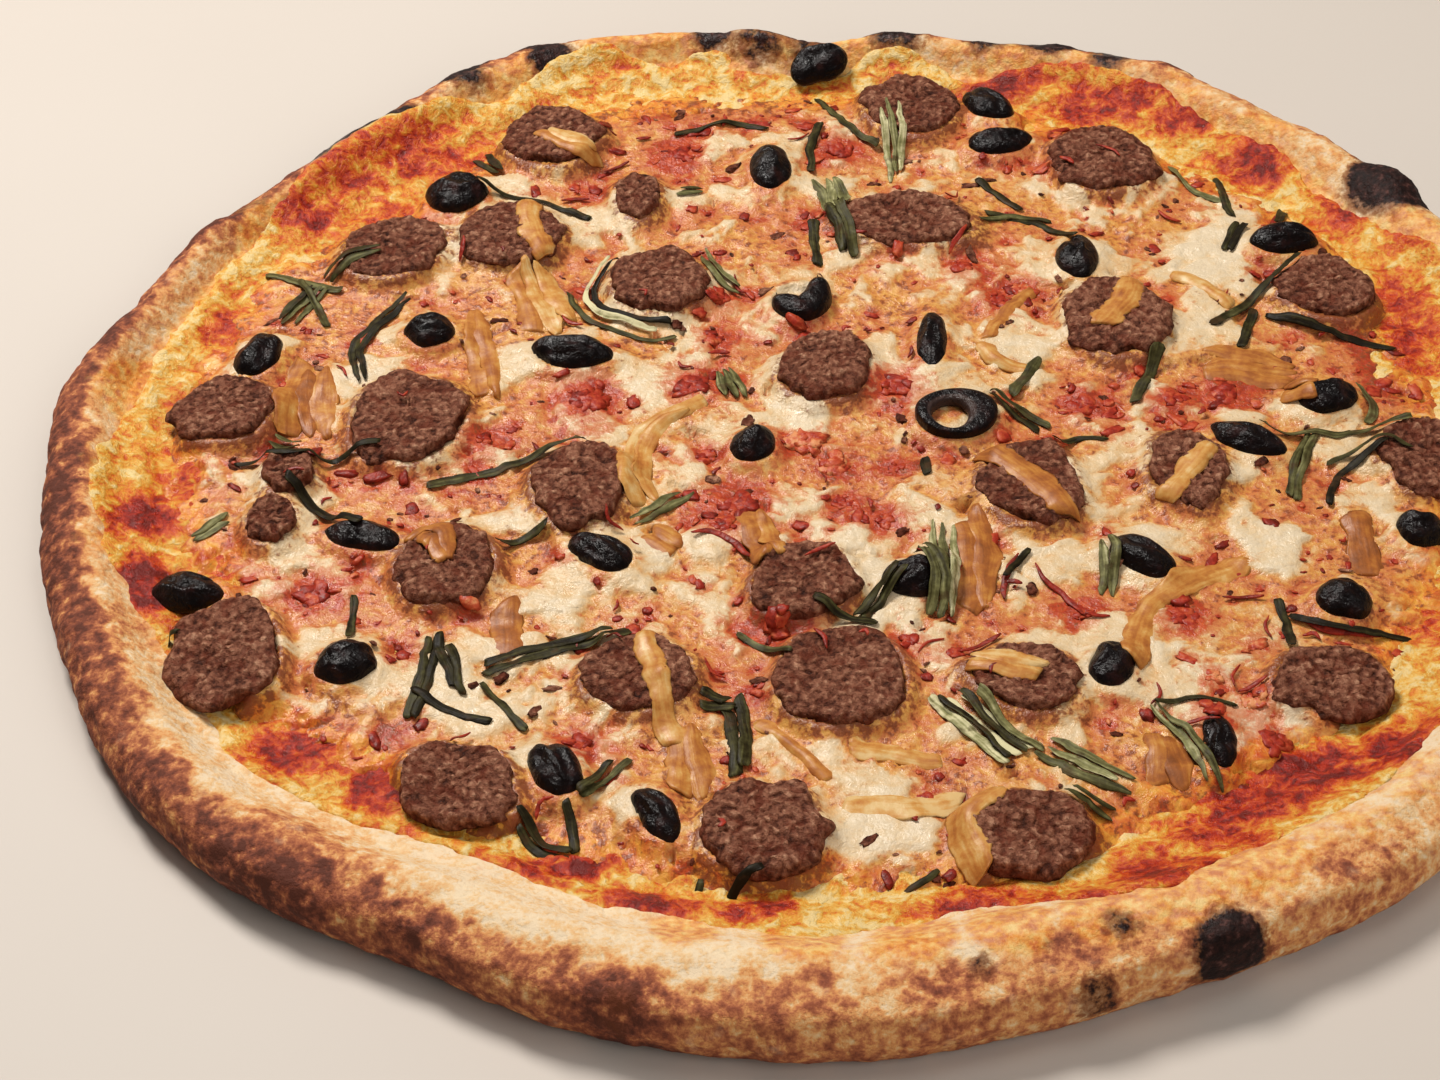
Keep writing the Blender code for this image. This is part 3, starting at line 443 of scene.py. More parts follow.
def angle_of(x, y):
    return np.degrees(np.arctan2(y, x))


def blots(x, y, places):
    """How far each place lies inside any of the blots, from 0 to about 1."""
    total = np.zeros(np.shape(x))
    for blot_x, blot_y, half_x, half_y, strength in places:
        inside = ((x - blot_x) / half_x) ** 2 + ((y - blot_y) / half_y) ** 2
        total = np.maximum(total, strength * np.exp(-(inside**1.5)))
    return total


def patches(x, y, places):
    """The same for round places."""
    return blots(x, y, [(px, py, radius, radius, strength) for px, py, radius, strength in places])


class Raster:
    """A square grid of values over the pizza, for heights and stains."""

    CELL = 0.8
    HALF = 206.0

    def __init__(self):
        side = int(2 * self.HALF / self.CELL) + 2
        self.grid = np.zeros((side, side))

    def raise_to(self, points):
        """Lifts the grid to the height of these points, and of the gaps between them."""
        i = np.rint((points[:, 0] + self.HALF) / self.CELL).astype(int)
        j = np.rint((points[:, 1] + self.HALF) / self.CELL).astype(int)
        for step_i in (-1, 0, 1):
            for step_j in (-1, 0, 1):
                np.maximum.at(self.grid, (i + step_i, j + step_j), points[:, 2])

    def spread(self, x, y, radius, strength):
        """Adds a soft round spot."""
        reach = int(2.5 * radius / self.CELL) + 1
        i = round((x + self.HALF) / self.CELL)
        j = round((y + self.HALF) / self.CELL)
        steps = np.arange(-reach, reach + 1) * self.CELL
        spot = np.exp(-(steps[:, None] ** 2 + steps[None, :] ** 2) / radius**2)
        part = self.grid[i - reach : i + reach + 1, j - reach : j + reach + 1]
        np.maximum(part, strength * spot, out=part)

    def at(self, x, y):
        """The grid's value at any places, blended from the four nearest."""
        last = len(self.grid) - 1.001
        u = np.clip((np.asarray(x) + self.HALF) / self.CELL, 0, last)
        v = np.clip((np.asarray(y) + self.HALF) / self.CELL, 0, last)
        i = u.astype(int)
        j = v.astype(int)
        u = u - i
        v = v - j
        low = self.grid[i, j] * (1 - u) + self.grid[i + 1, j] * u
        high = self.grid[i, j + 1] * (1 - u) + self.grid[i + 1, j + 1] * u
        return low * (1 - v) + high * v


def outline_middle():
    """The middle of the outline's box."""
    degrees = np.arange(360)
    radius = between(OUTLINE_RADII, degrees)
    x = radius * cos_of(degrees)
    y = radius * sin_of(degrees)
    return ((x.max() + x.min()) / 2, (y.max() + y.min()) / 2)


MIDDLE = outline_middle()


def in_frame(points):
    """Plan millimetres to the frame's metres."""
    moved = np.array(points, float).reshape(-1, 3)
    moved[:, 0] -= MIDDLE[0]
    moved[:, 1] -= MIDDLE[1]
    return moved * MM


def make_object(name, points, faces, material, nodes=(), layers=None):
    """A smooth mesh piece that rides with the pizza. faces is a list of index arrays."""
    mesh = bpy.data.meshes.new(name)
    places = in_frame(points)
    mesh.vertices.add(len(places))
    mesh.vertices.foreach_set("co", places.ravel())
    corners = np.concatenate([group.ravel() for group in faces])
    sizes = np.concatenate([np.full(len(group), group.shape[1]) for group in faces])
    mesh.loops.add(len(corners))
    mesh.loops.foreach_set("vertex_index", corners.astype(np.int32))
    mesh.polygons.add(len(sizes))
    mesh.polygons.foreach_set("loop_start", np.concatenate([[0], np.cumsum(sizes)[:-1]]).astype(np.int32))
    for layer, values in (layers or {}).items():
        made = mesh.attributes.new(layer, "FLOAT", "POINT")
        made.data.foreach_set("value", np.ascontiguousarray(values, np.float32).ravel())
    mesh.update(calc_edges=True)
    mesh.validate()
    mesh.shade_smooth()
    mesh.materials.append(material)
    piece = bpy.data.objects.new(name, mesh)
    bpy.context.scene.collection.objects.link(piece)
    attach(piece, "root")
    if nodes:
        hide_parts(*nodes)
    return piece


def ring_faces(ring_count, side_count):
    """Faces between rings of equal length, bottom to top, with a pole at either end."""
    i = np.arange(side_count)
    j = (i + 1) % side_count
    quads = []
    for k in range(ring_count - 1):
        low = 1 + k * side_count
        high = low + side_count
        quads.append(np.stack([low + i, low + j, high + j, high + i], 1))
    last = 1 + (ring_count - 1) * side_count
    fans = [
        np.stack([0 * i, 1 + j, 1 + i], 1),
        np.stack([last + i, last + j, 0 * i + last + side_count], 1),
    ]
    return [np.concatenate(quads), np.concatenate(fans)]


def with_poles(low, values, high):
    """The values of a piece's rings between those of its two poles."""
    return np.concatenate([[low], values.ravel(), [high]])


def ring_points(rings):
    """A row of rings closed at either end by its own middle."""
    return np.concatenate([[rings[0].mean(0)], rings.reshape(-1, 3), [rings[-1].mean(0)]])


class Graph:
    """A material's node tree, with short calls for the nodes used here."""

    def __init__(self, name):
        self.material = bpy.data.materials.new(name)
        self.material.use_nodes = True
        self.tree = self.material.node_tree
        self.shader = self.tree.nodes["Principled BSDF"]
        place = self.add("TexCoord", {}).outputs["Object"]
        self.place = self.add("VectorMath", {0: place, "Scale": 1 / MM}, operation="SCALE").outputs[0]

    def add(self, kind, inputs, **settings):
        """A new node. Each input is a value or the output of another node."""
        node = self.tree.nodes.new("ShaderNode" + kind)
        for name, value in settings.items():
            setattr(node, name, value)
        for name, value in inputs.items():
            self.put(node.inputs[name], value)
        return node

    def put(self, socket, value):
        if isinstance(value, bpy.types.NodeSocket):
            self.tree.links.new(value, socket)
        elif socket.type == "RGBA":
            socket.default_value = (*value, 1)
        else:
            socket.default_value = value

    def maths(self, operation, a, b):
        return self.add("Math", {0: a, 1: b}, operation=operation).outputs[0]

    def total(self, *terms):
        """The sum of terms, each a value or (value, weight)."""
        result = None
        for term in terms:
            if isinstance(term, tuple):
                term = self.maths("MULTIPLY", *term)
            result = term if result is None else self.maths("ADD", result, term)
        return result

    def layer(self, name):
        return self.add("Attribute", {}, attribute_name=name).outputs["Fac"]

    def mapped(self, value, low, high, to_low=0.0, to_high=1.0, kind="LINEAR"):
        """The span from low to high spread over to_low to to_high."""
        inputs = {"Value": value, "From Min": low, "From Max": high, "To Min": to_low, "To Max": to_high}
        return self.add("MapRange", inputs, interpolation_type=kind).outputs["Result"]

    def step(self, value, low, high):
        """0 below low, 1 above high, smooth between."""
        return self.mapped(value, low, high, kind="SMOOTHSTEP")

    def scaled(self, value, low, high):
        """A 0 to 1 value spread over low to high."""
        return self.mapped(value, 0.0, 1.0, low, high)

    def noise(self, size, detail=4.0, roughness=0.55, shift=0.0, warp=0.0, contrast=1.0):
        """Noise about 0.5 with features of this size. warp swirls it, contrast spreads it."""
        place = self.place
        if shift:
            place = self.add("VectorMath", {0: place, 1: (shift, 2 * shift, 0)}).outputs[0]
        sizes = {"Scale": 1 / size, "Detail": detail, "Roughness": roughness, "Distortion": warp}
        value = self.add("TexNoise", {"Vector": place, **sizes}).outputs["Fac"]
        if contrast == 1:
            return value
        return self.mapped(value, 0.5 - 0.5 / contrast, 0.5 + 0.5 / contrast)

    def streaks(self, across, along):
        """Noise drawn out along a strip, from its own across and along layers."""
        u = self.maths("MULTIPLY", self.layer("across"), across)
        v = self.maths("MULTIPLY", self.layer("along"), along)
        place = self.add("CombineXYZ", {0: u, 1: v}).outputs[0]
        value = self.add("TexNoise", {"Vector": place, "Scale": 1.0, "Detail": 3.0}).outputs["Fac"]
        return self.mapped(value, 0.25, 0.75)

    def cells(self, size):
        """Distance to the nearest of scattered points, in cells of this size."""
        return self.add("TexVoronoi", {"Vector": self.place, "Scale": 1 / size}).outputs["Distance"]

    def ramp(self, factor, stops):
        """A colour along stops of (place, colour)."""
        node = self.add("ValToRGB", {"Fac": factor})
        elements = node.color_ramp.elements
        while len(elements) < len(stops):
            elements.new(0.5)
        for element, (place, colour) in zip(elements, stops):
            element.position = place
            element.color = (*colour, 1)
        return node.outputs["Color"]

    def mix(self, factor, a, b, share=1.0):
        """Colour a where factor is 0, and b where it is 1, or as much of b as share says."""
        if share < 1:
            factor = self.maths("MULTIPLY", factor, share)
        return self.add("Mix", {"Factor": factor, 6: a, 7: b}, data_type="RGBA").outputs[2]

    def bump(self, height, depth, strength, under=None):
        """A normal from a height, on top of another normal where under gives one."""
        inputs = {"Strength": strength, "Distance": depth * MM, "Height": height}
        if under is not None:
            inputs["Normal"] = under
        return self.add("Bump", inputs).outputs["Normal"]

    def finish(self, colour, roughness, normal=None, specular=0.5):
        inputs = {"Base Color": colour, "Roughness": roughness, "Specular IOR Level": specular}
        if normal is not None:
            inputs["Normal"] = normal
        for name, value in inputs.items():
            self.put(self.shader.inputs[name], value)
        return self.material


def crust_material():
    g = Graph("baked_crust")
    toast = g.layer("toast")
    broad = g.noise(9, 4, 0.6, contrast=1.6)
    mottle = g.noise(3.4, 5, 0.62, shift=40, contrast=2.6)
    grain = g.noise(1.3, 3, 0.6, shift=80, contrast=2.2)
    freckles = g.maths("MULTIPLY", g.maths("SUBTRACT", mottle, 0.5), g.maths("ADD", toast, 0.22))
    amount = g.total(toast, (broad, 0.10), (grain, 0.22), (freckles, 0.95), -0.16)
    colour = g.ramp(amount, (
        (0.02, (0.76, 0.60, 0.41)), (0.15, (0.73, 0.48, 0.24)), (0.30, (0.67, 0.32, 0.115)),
        (0.46, (0.49, 0.180, 0.075)), (0.62, (0.32, 0.098, 0.046)), (0.82, (0.205, 0.060, 0.033)),
        (1.0, (0.120, 0.036, 0.021)),
    ))
    flour = g.step(g.total((g.noise(6, 4, shift=20, contrast=1.8), 1.0), (toast, -0.6)), 0.35, 0.8)
    colour = g.mix(flour, colour, (0.82, 0.66, 0.43), 0.35)
    oil = g.layer("oil")
    stain = g.step(g.total(oil, (g.noise(5, 5, 0.65, shift=60, contrast=2.0), 0.5)), 0.45, 0.95)
    oiled = g.ramp(g.noise(3, 4, shift=90, contrast=2), (
        (0.2, (0.80, 0.54, 0.18)), (0.50, (0.73, 0.30, 0.042)), (0.80, (0.52, 0.11, 0.017)),
    ))
    colour = g.mix(stain, colour, oiled, 0.72)
    char = g.total(g.layer("char"), (mottle, 0.34), (grain, 0.12), -0.23)
    singed = g.step(char, 0.20, 0.50)
    colour = g.mix(singed, colour, (0.17, 0.048, 0.018), 0.75)
    burnt = g.step(char, 0.48, 0.68)
    ash = g.ramp(g.noise(1.8, 4, shift=120, contrast=2), (
        (0.3, (0.013, 0.005, 0.004)), (0.65, (0.034, 0.012, 0.009)), (0.95, (0.120, 0.050, 0.040)),
    ))
    colour = g.mix(burnt, colour, ash)
    rough = g.total(0.74, (stain, -0.30), (burnt, -0.12))
    normal = g.bump(grain, 0.22, 0.8)
    normal = g.bump(mottle, 0.55, 0.6, under=normal)
    return g.finish(colour, rough, normal, specular=0.22)


def sauce_material():
    g = Graph("tomato_sauce")
    patchy = g.noise(5.0, 6, 0.66, warp=0.5, contrast=2.6)
    grain = g.noise(1.9, 4, 0.65, shift=30, contrast=2.4)
    orange = g.total(g.layer("orange"), (patchy, 0.72), (grain, 0.40), -0.56)
    colour = g.ramp(orange, (
        (0.0, (0.17, 0.012, 0.007)), (0.20, (0.38, 0.022, 0.008)), (0.38, (0.56, 0.070, 0.012)),
        (0.54, (0.66, 0.175, 0.020)), (0.70, (0.71, 0.32, 0.036)), (0.84, (0.76, 0.46, 0.10)),
        (1.0, (0.80, 0.60, 0.27)),
    ))
    normal = g.bump(grain, 0.4, 0.7)
    normal = g.bump(patchy, 1.0, 0.7, under=normal)
    return g.finish(colour, g.scaled(g.noise(3, 3, contrast=2), 0.2, 0.5), normal, specular=0.35)


def cheese_material():
    g = Graph("melted_cheese")
    broad = g.noise(15, 4, 0.55, shift=230, warp=0.8, contrast=2.4)
    swirl = g.noise(7.0, 6, 0.62, shift=30, warp=0.9, contrast=2.4)
    middle = g.noise(4.0, 5, 0.62, shift=70, warp=0.6, contrast=2.4)
    small = g.noise(2.0, 4, 0.6, shift=110, contrast=2.2)
    fine = g.noise(0.9, 3, 0.5, shift=150, contrast=2.0)
    valley = g.layer("valley")
    pale = g.layer("pale")
    red = g.layer("red")
    gold = g.layer("gold")
    tone = g.total((swirl, 0.30), (valley, 0.48), (small, 0.24), (broad, 0.10), (pale, -0.25), -0.04)
    colour = g.ramp(tone, (
        (0.10, (0.71, 0.575, 0.395)), (0.32, (0.69, 0.51, 0.30)), (0.55, (0.65, 0.39, 0.165)),
        (0.78, (0.57, 0.26, 0.075)),
    ))
    # Oil stains it golden, most of all in its valleys
    oily = g.total((middle, 0.34), (valley, 0.52), (broad, 0.20), (gold, 0.40), (pale, -0.30))
    amber = g.ramp(small, (
        (0.2, (0.68, 0.35, 0.085)), (0.6, (0.57, 0.215, 0.040)), (0.9, (0.40, 0.115, 0.028)),
    ))
    colour = g.mix(g.step(oily, 0.44, 0.70), colour, amber, 0.88)
    # Sauce has come through, first as a blush and then as red
    level = g.total(
        (swirl, 0.20), (small, 0.18), (middle, 0.24), (broad, 0.20), (valley, 0.24),
        (red, 0.46), (pale, -0.16),
    )
    blush = g.step(level, 0.51, 0.68)
    colour = g.mix(blush, colour, (0.54, 0.155, 0.060), 0.72)
    deep = g.step(level, 0.70, 0.84)
    reds = g.ramp(small, (
        (0.2, (0.28, 0.024, 0.012)), (0.5, (0.42, 0.042, 0.015)), (0.85, (0.58, 0.105, 0.028)),
    ))
    colour = g.mix(deep, colour, reds, 0.9)
    # Orange oil stands round the edge
    ring = g.step(g.total(g.layer("ring"), (swirl, 0.45), (small, 0.30), -0.38), 0.22, 0.62)
    orange = g.ramp(middle, (
        (0.2, (0.76, 0.38, 0.055)), (0.5, (0.68, 0.22, 0.026)), (0.85, (0.50, 0.065, 0.014)),
    ))
    colour = g.mix(ring, colour, orange, 0.78)
    # Small spots browned in the oven, with more dark brown close round each slice of meat
    brown = g.layer("brown")
    level = g.total(
        (small, 0.40), (middle, 0.26), (fine, 0.12), (brown, 0.32), (valley, 0.14), (pale, -0.1),
    )
    spots = g.step(level, 0.57, 0.74)
    colour = g.mix(spots, colour, (0.20, 0.058, 0.022), 0.8)
    rough = g.scaled(g.noise(4, 3, shift=190, contrast=2), 0.18, 0.42)
    normal = g.bump(fine, 0.08, 0.6)
    normal = g.bump(g.total((small, 0.5), (middle, 0.7)), 0.8, 0.55, under=normal)
    return g.finish(colour, rough, normal, specular=0.4)


def meat_material():
    g = Graph("browned_meat")
    grains = g.cells(1.9)
    patchy = g.noise(4.5, 4, 0.6, contrast=1.8)
    mottle = g.noise(1.6, 4, 0.65, shift=30, contrast=2.0)
    fine = g.noise(0.7, 3, 0.6, shift=60, contrast=2.0)
    # Lighter on the raised crumbs and over the slice's top, darker and redder in the gaps between crumbs
    # and down its side: partly the meat's own mottling, partly painted shade
    level = g.total((g.layer("height"), 0.46), (mottle, 0.46), (fine, 0.24), (grains, -0.46), 0.12)
    colour = g.ramp(level, (
        (0.10, (0.024, 0.006, 0.003)), (0.32, (0.090, 0.025, 0.012)), (0.50, (0.195, 0.068, 0.037)),
        (0.70, (0.32, 0.135, 0.078)), (0.95, (0.54, 0.29, 0.18)),
    ))
    red = g.step(g.total(patchy, (g.layer("height"), -0.35)), 0.22, 0.62)
    colour = g.mix(red, colour, (0.17, 0.034, 0.014), 0.6)
    normal = g.bump(g.total((grains, -1.0), (fine, 0.5)), 0.8, 1.0)
    normal = g.bump(mottle, 0.6, 0.7, under=normal)
    return g.finish(colour, g.scaled(mottle, 0.45, 0.75), normal, specular=0.15)


def olive_material():
    g = Graph("black_olive")
    patchy = g.noise(4.0, 4, contrast=1.8)
    colour = g.ramp(patchy, (
        (0.3, (0.0035, 0.0015, 0.0015)), (0.6, (0.007, 0.0025, 0.0025)), (0.95, (0.034, 0.009, 0.007)),
    ))
    flesh = g.layer("flesh")
    colour = g.mix(flesh, colour, (0.10, 0.060, 0.050))
    normal = g.bump(g.noise(0.9, 3, contrast=1.5), 0.16, 0.6)
    normal = g.bump(g.noise(2.6, 4, 0.6, shift=40, warp=0.5, contrast=2.0), 0.7, 0.7, under=normal)
    return g.finish(colour, g.scaled(patchy, 0.20, 0.42), normal, specular=0.24)


def green_material():
    g = Graph("spring_onion")
    ribs = g.streaks(1.1, 0.07)
    patchy = g.noise(3.0, 5, 0.65, contrast=2.0)
    light = g.total((g.layer("light"), 0.67), (ribs, 0.46), (patchy, 0.34), -0.34)
    colour = g.ramp(light, (
        (0.0, (0.013, 0.009, 0.004)), (0.17, (0.030, 0.024, 0.008)), (0.34, (0.068, 0.060, 0.020)),
        (0.50, (0.140, 0.130, 0.050)), (0.67, (0.270, 0.255, 0.110)), (0.90, (0.66, 0.60, 0.36)),
    ))
    singed = g.step(g.noise(5, 4, shift=50, contrast=2), 0.58, 0.85)
    colour = g.mix(singed, colour, (0.070, 0.036, 0.015), 0.65)
    normal = g.bump(ribs, 0.25, 0.6)
    normal = g.bump(patchy, 0.25, 0.5, under=normal)
    return g.finish(colour, g.scaled(patchy, 0.35, 0.6), normal, specular=0.12)


def onion_material():
    g = Graph("soft_onion")
    ribs = g.streaks(0.8, 0.06)
    patchy = g.noise(4.5, 5, 0.6, contrast=2.0)
    level = g.total(g.layer("browned"), (ribs, 0.40), (patchy, 0.70), -0.36)
    colour = g.ramp(level, (
        (0.0, (0.66, 0.45, 0.20)), (0.22, (0.58, 0.305, 0.085)), (0.45, (0.48, 0.195, 0.042)),
        (0.70, (0.35, 0.115, 0.026)), (1.0, (0.22, 0.070, 0.018)),
    ))
    normal = g.bump(ribs, 0.16, 0.4)
    normal = g.bump(patchy, 0.3, 0.5, under=normal)
    return g.finish(colour, g.scaled(patchy, 0.30, 0.52), normal, specular=0.28)


def tomato_material():
    g = Graph("diced_tomato")
    patchy = g.noise(2.2, 4, 0.6, contrast=2.0)
    colour = g.ramp(g.total((patchy, 0.6), (g.layer("tone"), 0.5)), (
        (0.0, (0.070, 0.011, 0.006)), (0.30, (0.190, 0.017, 0.009)), (0.55, (0.360, 0.030, 0.013)),
        (0.80, (0.52, 0.095, 0.034)), (1.0, (0.66, 0.27, 0.11)),
    ))
    normal = g.bump(g.noise(1.0, 3, contrast=1.5), 0.3, 0.6)
    return g.finish(colour, g.scaled(patchy, 0.3, 0.55), normal, specular=0.3)


def rim(degrees):
    """The rim's outer radius, its width and the height of its crest."""
    width = between(RIM_WIDTHS, degrees)
    return between(OUTLINE_RADII, degrees), width, RIM_LOWEST + RIM_RISE * width


def rim_section(degrees):
    """Radii and heights of the crust's surface, one row for each point of its section."""
    outer, width, crest = rim(degrees)
    rows = [
        (outer - FOOT_INSET, 0 * outer),
        (outer - 4.2, 0 * outer + 0.8),
        (outer - 1.1, 0 * outer + 3.6),
        (outer, 0.45 * crest),
        (outer - 0.7, 0.66 * crest),
        (outer - 3.2, 0.86 * crest),
        (outer - 0.28 * width - 1, 0.97 * crest),
        (outer - RIM_CREST_AT * width, crest),
    ]
    for share in (0.25, 0.5, 0.75, 1.0):
        inward = RIM_CREST_AT + (1 - RIM_CREST_AT) * share
        drop = (1 - math.cos(math.pi * share)) / 2
        rows.append((outer - inward * width, crest - (crest - FOOT_TOP) * drop))
    rows.append((outer - width - 0.5 * FOOT_FALL, 0 * outer + 0.5 * (FOOT_TOP + FLOOR_TOP)))
    rows.append((outer - width - FOOT_FALL, 0 * outer + FLOOR_TOP))
    return np.swapaxes(np.array(rows), 0, 1)


def through(rows, steps):
    """Finer rows on the smooth curve through the given ones."""
    padded = np.concatenate([rows[:1], rows, rows[-1:]])
    finer = []
    for a, b, c, d in zip(padded, padded[1:], padded[2:], padded[3:]):
        for i in range(steps):
            t = i / steps
            bend = (2 * a - 5 * b + 4 * c - d) * t**2 + (3 * b - a - 3 * c + d) * t**3
            finer.append(0.5 * (2 * b + (c - a) * t + bend))
    finer.append(rows[-1])
    return np.array(finer)


def inner_slope(x, y):
    """Height of the crust's own surface inside the crest, before its lumps."""
    outer, width, crest = rim(angle_of(x, y))
    depth = outer - np.hypot(x, y)
    share = np.clip((depth / width - RIM_CREST_AT) / (1 - RIM_CREST_AT), 0, 1)
    slope = crest - (crest - FOOT_TOP) * (1 - np.cos(np.pi * share)) / 2
    return slope - (FOOT_TOP - FLOOR_TOP) * smooth_step(0, FOOT_FALL, depth - width)


def sauce_level(x, y):
    """Height of the sauce's surface, before its lumps."""
    return np.maximum(SAUCE_TOP, inner_slope(x, y) + 0.2)


def crust_lump(x, y, height):
    """What the dough's unevenness adds to the height."""
    risen = smooth_step(FLOOR_TOP, FLOOR_TOP + 3, height)
    return risen * (0.9 * waves(x, y, 17, 3) + 0.35 * layered(x, y, 6, 61, 3))


def blistered(x, y, z):
    """The surface pushed up and outward where blisters have risen."""
    length = np.hypot(x, y) + 1e-9
    lift = smooth_step(1.0, 6.0, z)
    push = np.zeros(np.shape(x))
    for blister_x, blister_y, radius, height in BLISTERS:
        far = ((x - blister_x) ** 2 + (y - blister_y) ** 2) / (1.1 * radius) ** 2
        push += height * np.exp(-(far**1.5))
    push *= lift
    return x + 0.35 * push * x / length, y + 0.35 * push * y / length, z + 0.75 * push


CRUST_SIDES = 1320
SECTION_STEPS = 5
# The row of rim_section that is the crest
CREST_ROW = 7


def make_crust():
    degrees = np.arange(CRUST_SIDES) * 360 / CRUST_SIDES
    radii, z = (through(rows, SECTION_STEPS) for rows in rim_section(degrees))
    angle = np.radians(degrees)[None, :]
    x = radii * np.cos(angle)
    y = radii * np.sin(angle)
    z[0] = 0
    along = np.repeat(np.linspace(0, 1, len(radii))[:, None], CRUST_SIDES, 1)
    arc = degrees[None, :] * 3.4 + 0 * x
    # Folds and soft creases that run round the outer face
    outward = smooth_step(0.0, 0.12, along) * (1 - smooth_step(0.5, 0.8, along))
    bulge = 0.8 * layered(arc, along * 70, 14, 81, 3) + 0.35 * layered(arc, along * 70, 4, 87, 3)
    x = x + bulge * outward * np.cos(angle)
    y = y + bulge * outward * np.sin(angle)
    z = np.maximum(z + crust_lump(x, y, z), 0)
    z = z + 0.12 * layered(x, y, 1.8, 91, 2) * smooth_step(1.5, 6, z)
    x, y, z = blistered(x, y, z)
    rings = np.stack([x, y, z], -1)
    # The flat underside and the hidden floor each take one more ring
    under = rings[0] * (0.55, 0.55, 0)
    floor = rings[-1] * (0.7, 0.7, 0) + (0, 0, FLOOR_TOP)
    rings = np.concatenate([under[None], rings, floor[None]])
    points = np.concatenate([[(0, 0, 0)], rings.reshape(-1, 3), [(0, 0, FLOOR_TOP)]])
    faces = ring_faces(len(rings), CRUST_SIDES)

    px, py, pz = points.T
    around = angle_of(px, py) % 360
    outer, width, _ = rim(around)
    inward = (outer - np.hypot(px, py)) / width
    # Which side of the crest a point is on, told by its row of the section
    row = np.concatenate([[0], np.repeat(np.arange(len(rings)), CRUST_SIDES), [len(rings)]])
    crest_row = CREST_ROW * SECTION_STEPS + 1
    leftward = smooth_step(0.5, 1.0, cos_of(around - 170))
    border = 5 * layered(px, py, 13, 101, 3) + 3.5 * layered(px, py, 4.5, 104, 3) - 6 * leftward
    outside = smooth_step(crest_row - 1, crest_row - 10, row + border)
    # The outer face is darker towards the left and lighter on the right and at the front: partly deeper
    # toasting, partly painted shade and painted light
    left_side = np.maximum(cos_of(around - 205), -0.45)
    toast = outside * (0.275 + 0.265 * left_side) + 0.06 + 0.15 * leftward
    toast += 0.12 * outside * layered(px, py, 16, 103, 4)
    toast += 0.42 * patches(px, py, TOAST_PATCHES)
    # The outer face is darker towards its foot: partly browning, partly painted shade under the rim
    toast += 0.16 * smooth_step(6.0, 0.5, pz) * outside
    back = smooth_step(0.1, 0.8, cos_of(around - 90))
    toast += 0.13 * back * (1 - outside) + 0.2 * back * outside
    char = patches(px, py, CHAR_PATCHES) * smooth_step(1.5, 8, pz)
    raised = pz > 5
    char += back * smooth_step(0.34, 0.12, inward) * raised * (0.42 + 0.3 * layered(px, py, 18, 119, 3))
    foot = smooth_step(0.68, 0.98, inward) * (row > crest_row)
    front_left = smooth_step(0.2, 0.8, cos_of(around - 232))
    oil = foot * (0.45 + 0.35 * layered(px, py, 12, 107, 3)) * (1 - 0.6 * front_left)
    oil += back * (1 - outside) * (0.22 + 0.5 * layered(px, py, 15, 113, 3))
    oil += patches(px, py, OIL_PATCHES) * raised
    underneath = row <= 1
    toast = np.where(underneath, 0.35 + 0.2 * layered(px, py, 20, 109, 3), toast)
    layers = {"toast": toast, "char": char, "oil": oil}
    return make_object("crust_baked", points, faces, crust_material(), ["crust"], layers)


def cheese_reach(degrees):
    """How far out the cheese reaches, always a little short of the rim."""
    outer, width, _ = rim(degrees)
    ragged = between(CHEESE_RADII, degrees) + 2.2 * waves(degrees % 360, 0, 7, 11)
    return np.minimum(ragged, outer - width - 4)


class Lying:
    """Where one topping lies: its plan, and the tilted plane of its underside."""

    def __init__(self, node, x, y, half_x, half_y, turn, factors):
        self.node = node
        self.x = x
        self.y = y
        self.half = (half_x, half_y)
        self.turn = math.radians(turn)
        self.factors = np.asarray(factors, float)
        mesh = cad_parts[node].data
        corners = np.empty(len(mesh.vertices) * 3)
        mesh.vertices.foreach_get("co", corners)
        corners = corners.reshape(-1, 3) / MM + (MIDDLE[0], MIDDLE[1], 0)
        corners = np.unique(np.round(corners, 3), axis=0)
        rows = np.column_stack([corners[:, :2], np.ones(len(corners))])
        plane = np.linalg.lstsq(rows, corners[:, 2], rcond=None)[0]
        rest = corners[:, 2] - rows @ plane
        self.slope = plane[:2]
        self.level = plane[2] + rest.min()
        self.thick = rest.max() - rest.min()

    def underside(self, x, y):
        return self.slope[0] * x + self.slope[1] * y + self.level

    def near(self, x, y, room):
        """The places at most room outside its plan: their indices, and how far out each
        lies as a share of the plan's own size, which is 1 on its outline."""
        reach = max(self.half) * 1.1 + room
        k = np.flatnonzero((x - self.x) ** 2 + (y - self.y) ** 2 < reach**2)
        dx = x[k] - self.x
        dy = y[k] - self.y
        u = (dx * math.cos(self.turn) + dy * math.sin(self.turn)) / self.half[0]
        v = (-dx * math.sin(self.turn) + dy * math.cos(self.turn)) / self.half[1]
        return k, np.hypot(u, v) / between(self.factors, angle_of(u, v))

    def place(self, share, degrees):
        """The place at this share of its size, in this direction."""
        reach = share * between(self.factors, degrees)
        u = reach * cos_of(degrees) * self.half[0]
        v = reach * sin_of(degrees) * self.half[1]
        x = self.x + u * math.cos(self.turn) - v * math.sin(self.turn)
        y = self.y + u * math.sin(self.turn) + v * math.cos(self.turn)
        return x, y


